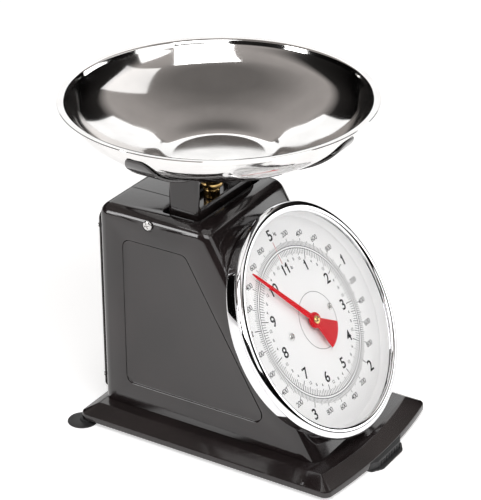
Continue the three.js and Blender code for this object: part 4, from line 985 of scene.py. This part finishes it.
    def label(self, marking: Marking, text: str, clockwise: float, radius: float, size: float,
              weight: float = 0.0, shift: Point = (0.0, 0.0)) -> None:
        """Prints an upright number with its middle on a radius.

        Args:
            marking: Its ink.
            text: The number.
            clockwise: Its angle in degrees, clockwise from the top.
            radius: How far out its middle stands.
            size: Height of the type.
            weight: How much its strokes are thickened.
            shift: A further move right and up.
        """
        curve = bpy.data.curves.new("number", "FONT")
        curve.body = text
        curve.size = size
        curve.offset = weight
        curve.extrude = 0.02
        curve.space_character = 0.92
        curve.align_x = "CENTER"
        curve.align_y = "CENTER"
        number = bpy.data.objects.new("number", curve)
        bpy.context.collection.objects.link(number)
        mesh = bpy.data.meshes.new_from_object(number.evaluated_get(bpy.context.evaluated_depsgraph_get()))
        a = math.radians(clockwise)
        x, y = radius * math.sin(a) + shift[0], radius * math.cos(a) + shift[1]
        mesh.transform(Matrix.Translation((x, y, 0.04 - self.plate_depth)))
        ink = self.ink(marking).bm
        for place in [i for i, digit in enumerate(text) if digit == "1" and size > 8]:
            stem = x + (place - (len(text) - 1) / 2) * size * (0.36 if text == "11" else 0.44) + size * 0.02
            flag = solid_block(-size * 0.20, 0, -size * 0.055, size * 0.055, -0.02, 0.02)
            flag.move(Matrix.Translation((stem, y + size * 0.30, 0.04 - self.plate_depth))
                      @ Matrix.Rotation(math.radians(38), 4, "Z"))
            self.ink(marking).add(flag)
        ink.from_mesh(mesh)
        bpy.data.objects.remove(number)
        bpy.data.curves.remove(curve)
        bpy.data.meshes.remove(mesh)

    def print_scales(self) -> None:
        """Prints the kilogram scale outside the double ring and the pound scale inside it, and paints the shadow of
        the lens's centre ring as an off-centre grey circle.
        """
        inner, outer = self.ring
        self.circle(Marking.GREY, inner, 0.5)
        self.circle(Marking.GREY, outer, 0.5)
        for k in range(250):
            turn = k * 1.44
            if k % 50 == 0:
                self.tick(Marking.RED if k == 0 else Marking.BLACK, turn, outer, outer + 8.0, 0.6)
            elif k % 10 == 0:
                self.tick(Marking.GREY, turn, outer, outer + 6.2, 0.5)
            elif k % 5 == 0:
                self.tick(Marking.GREY, turn, outer, outer + 5.0, 0.46)
            else:
                self.tick(Marking.GREY, turn, outer, outer + 3.8, 0.42)
        for k in range(25):
            grams = (k % 5) * 200
            if grams == 0:
                kilos = k // 5 or 5
                self.label(Marking.BLACK, str(kilos), k * 14.4, 75.6, 12.4, 0.2)
            else:
                self.label(Marking.GREY, str(grams), k * 14.4, 72.2, 6.0, 0.03)
        self.label(Marking.GREY, "kg", 0, 75.6, 4.0, 0.06, shift=(6.6, -0.6))
        per_pound = 360 * 0.45359237 / 5
        for k in range(1, 177):
            turn = k * per_pound / 16
            if k % 16 == 0:
                self.tick(Marking.RED if k == 176 else Marking.BLACK, turn, inner - 8.5, inner, 0.6)
                self.label(Marking.BLACK, str(k // 16), turn, inner - 14.0, 12.4, 0.2, (0.9, 0))
            elif k % 4 == 0:
                self.tick(Marking.GREY, turn, inner - 5.8, inner, 0.48)
                self.label(Marking.GREY, str(k % 16), turn, inner - 8.8, 3.6, 0.03)
            else:
                self.tick(Marking.GREY, turn, inner - 4.6, inner, 0.42)
        self.label(Marking.GREY, "lb", 11 * per_pound, inner - 14.0, 4.0, 0.05, (8.6, -1.6))
        # Painted shadow: an off-centre grey circle, drawn in grey ink, where the lens's centre ring shades the dial.
        self.circle(Marking.GREY, 23.4, 0.36, 9.4, -3.0)

    def make_pointer(self, place: Matrix) -> None:
        """Cuts the pointer with its fan-shaped tail and turns the cap on its hub."""
        spread = math.radians(27)
        fan = [(-27 * math.sin(spread - 2 * spread * k / 16) , -27 * math.cos(spread - 2 * spread * k / 16))
               for k in range(17)]
        blade = Workpiece().plate([(0.5, 75.5), (-0.5, 75.5), (-1.3, 70), (-2.6, 6), (-2.7, 0), *fan,
                                   (2.7, 0), (2.6, 6), (1.3, 70)],
                                  -7.8, -7.2)
        hub = Workpiece().plate([(6.4 * math.cos(a), 6.4 * math.sin(a)) for a in
                                 (2 * math.pi * k / 48 for k in range(48))], -9.2, -6.9)
        blade.combine(hub, "UNION")
        blade.bevel(0.12, 2, 60)
        swing = place @ Matrix.Rotation(-math.radians(self.reading), 4, "Z")
        blade.finish("pointer_fine", swing, POINTER_RED, "pointer", "pointer", slot="pointer_red")
        Workpiece().turn([(0, -6.5), (3.2, -6.5), (3.45, -6.3), (3.45, -5.7), (3.1, -5.2), (2.3, -4.7), (1.3, -4.35),
                          (0, -4.25)], 48).finish("pointer_cap_fine", place, BRASS, "pointer", "pointer_cap",
                                                  slot="brass")


# --- Works behind the dial ---


@dataclass
class Works:
    """The pieces inside, kept as they are and given their own surfaces.

    Attributes:
        finishes: Finish of each kind of piece, by words in its name.
    """

    finishes: tuple[tuple[str, Finish], ...] = (
        ("spring_left", SPRING), ("spring_right", SPRING), ("gear", BRASS), ("rack_guide", ZINC), ("rack", BRASS),
        ("bush", BRASS), ("adjuster_rod", BRASS), ("knob_shelf", ENAMEL), ("", ZINC),
    )

    def build(self) -> None:
        """Dresses every kept piece that no finer piece stands for."""
        for name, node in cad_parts.items():
            if node.hide_render:
                continue
            finish = next(f for word, f in self.finishes if word in name)
            node.data.materials.clear()
            node.data.materials.append(finish.make())
            log.info("%s: kept, %s", name, finish.name)


# --- Studio ---


@dataclass
class Studio:
    """Pale floor, soft lights and the camera.

    Attributes:
        azimuth: Camera's direction round the scale, in degrees.
        elevation: Camera's height angle, in degrees.
        roll: Camera's roll, in degrees.
        distance: Camera's distance from its target, in millimetres.
        lens: Focal length, in millimetres.
    """

    azimuth: float = -58.03
    elevation: float = 26.75
    roll: float = -0.35
    distance: float = 1713.7
    lens: float = 154.84
    aim: tuple[float, float] = (16.07, -7.53)

    def build(self, place: Matrix) -> None:
        """Sets the studio up.

        Args:
            place: Place of the scale's frame.
        """
        self.add_floor()
        self.add_lights()
        self.add_camera(place)

    def add_floor(self) -> None:
        """Lays the floor."""
        bm = bmesh.new()
        bmesh.ops.create_grid(bm, x_segments=2, y_segments=2, size=8)
        mesh = bpy.data.meshes.new("floor")
        bm.to_mesh(mesh)
        bm.free()
        mesh.materials.append(FLOOR.make())
        floor = bpy.data.objects.new("floor", mesh)
        bpy.context.collection.objects.link(floor)

    def add_lights(self) -> None:
        """Hangs the soft lights and sets the world's tone."""
        world = bpy.data.worlds.new("studio")
        bpy.context.scene.world = world
        world.use_nodes = True
        nodes, links = world.node_tree.nodes, world.node_tree.links
        sky = nodes.new("ShaderNodeTexCoord")
        height = nodes.new("ShaderNodeSeparateXYZ")
        links.new(sky.outputs["Generated"], height.inputs["Vector"])
        tone = nodes.new("ShaderNodeValToRGB")
        bands = ((0.20, 0.002), (0.49, 0.018), (0.60, 0.40), (0.76, 0.34), (0.95, 0.15))
        for spot, _ in bands[2:]:
            tone.color_ramp.elements.new(spot)
        for element, (spot, light) in zip(tone.color_ramp.elements, bands):
            element.position = spot
            element.color = (light, light * 0.93, light * 0.89, 1)
        links.new(height.outputs["Z"], tone.inputs["Fac"])
        links.new(tone.outputs["Color"], nodes["Background"].inputs["Color"])
        nodes["Background"].inputs["Strength"].default_value = 1.0
        self.soft_box("main", (-0.75, -0.75, 1.35), (1.1, 1.1), 15)
        self.soft_box("front", (-0.3, -2.6, 1.5), (1.6, 1.2), 9)
        self.soft_box("right", (1.5, -1.25, 0.45), (0.9, 0.5), 3.4)
        self.soft_box("back", (1.515, 0.97, 1.0), (1.5, 0.9), 5)
        self.soft_box("left", (-2.0, 1.2, 0.9), (0.7, 0.9), 16)
        self.soft_box("dish", (1.1, -1.1, 1.9), (1.5, 1.2), 4.5)

    def soft_box(self, name: str, spot: tuple[float, float, float], size: Point, power: float) -> None:
        """Hangs one soft box that faces the scale.

        Args:
            name: Its name.
            spot: Where it hangs, in metres.
            size: Its width and height, in metres.
            power: Its power, in watts.
        """
        light = bpy.data.lights.new(name, "AREA")
        light.shape = "RECTANGLE"
        light.size, light.size_y = size
        light.energy = power
        lamp = bpy.data.objects.new(name, light)
        lamp.location = spot
        lamp.rotation_euler = (Vector((0, 0, 0.12)) - Vector(spot)).to_track_quat("-Z", "Y").to_euler()
        bpy.context.collection.objects.link(lamp)

    def add_camera(self, place: Matrix) -> None:
        """Stands the camera at its viewing angle.

        Args:
            place: Place of the scale's frame.
        """
        a, e, roll = (math.radians(v) for v in (self.azimuth, self.elevation, self.roll))
        back = Vector((math.sin(a) * math.cos(e), -math.cos(a) * math.cos(e), math.sin(e)))
        right = Vector((math.cos(a), math.sin(a), 0))
        up = back.cross(right)
        target = Vector((0, 0, 150)) + right * self.aim[0] + up * self.aim[1]
        turned_right = right * math.cos(roll) + up * math.sin(roll)
        turned_up = back.cross(turned_right)
        camera = bpy.data.objects.new("camera", bpy.data.cameras.new("camera"))
        camera.data.lens = self.lens
        camera.data.sensor_width = 36
        camera.data.sensor_height = 36
        camera.data.clip_end = 50
        spot = place @ (target + back * self.distance)
        turn = Matrix((turned_right, turned_up, back)).transposed().to_4x4()
        camera.matrix_world = Matrix.Translation(spot) @ turn
        bpy.context.collection.objects.link(camera)
        bpy.context.scene.camera = camera


def main() -> None:
    """Builds the scale, its works and the studio."""
    place = scale_place()
    DishAndSpider().build(place)
    SlidingColumn().build(place)
    Casing().build(place)
    BaseAndFeet().build(place)
    Dial().build(dial_place())
    Works().build()
    Studio().build(place)
    bpy.context.scene.view_settings.view_transform = "Standard"


if __name__ == "__main__":
    main()
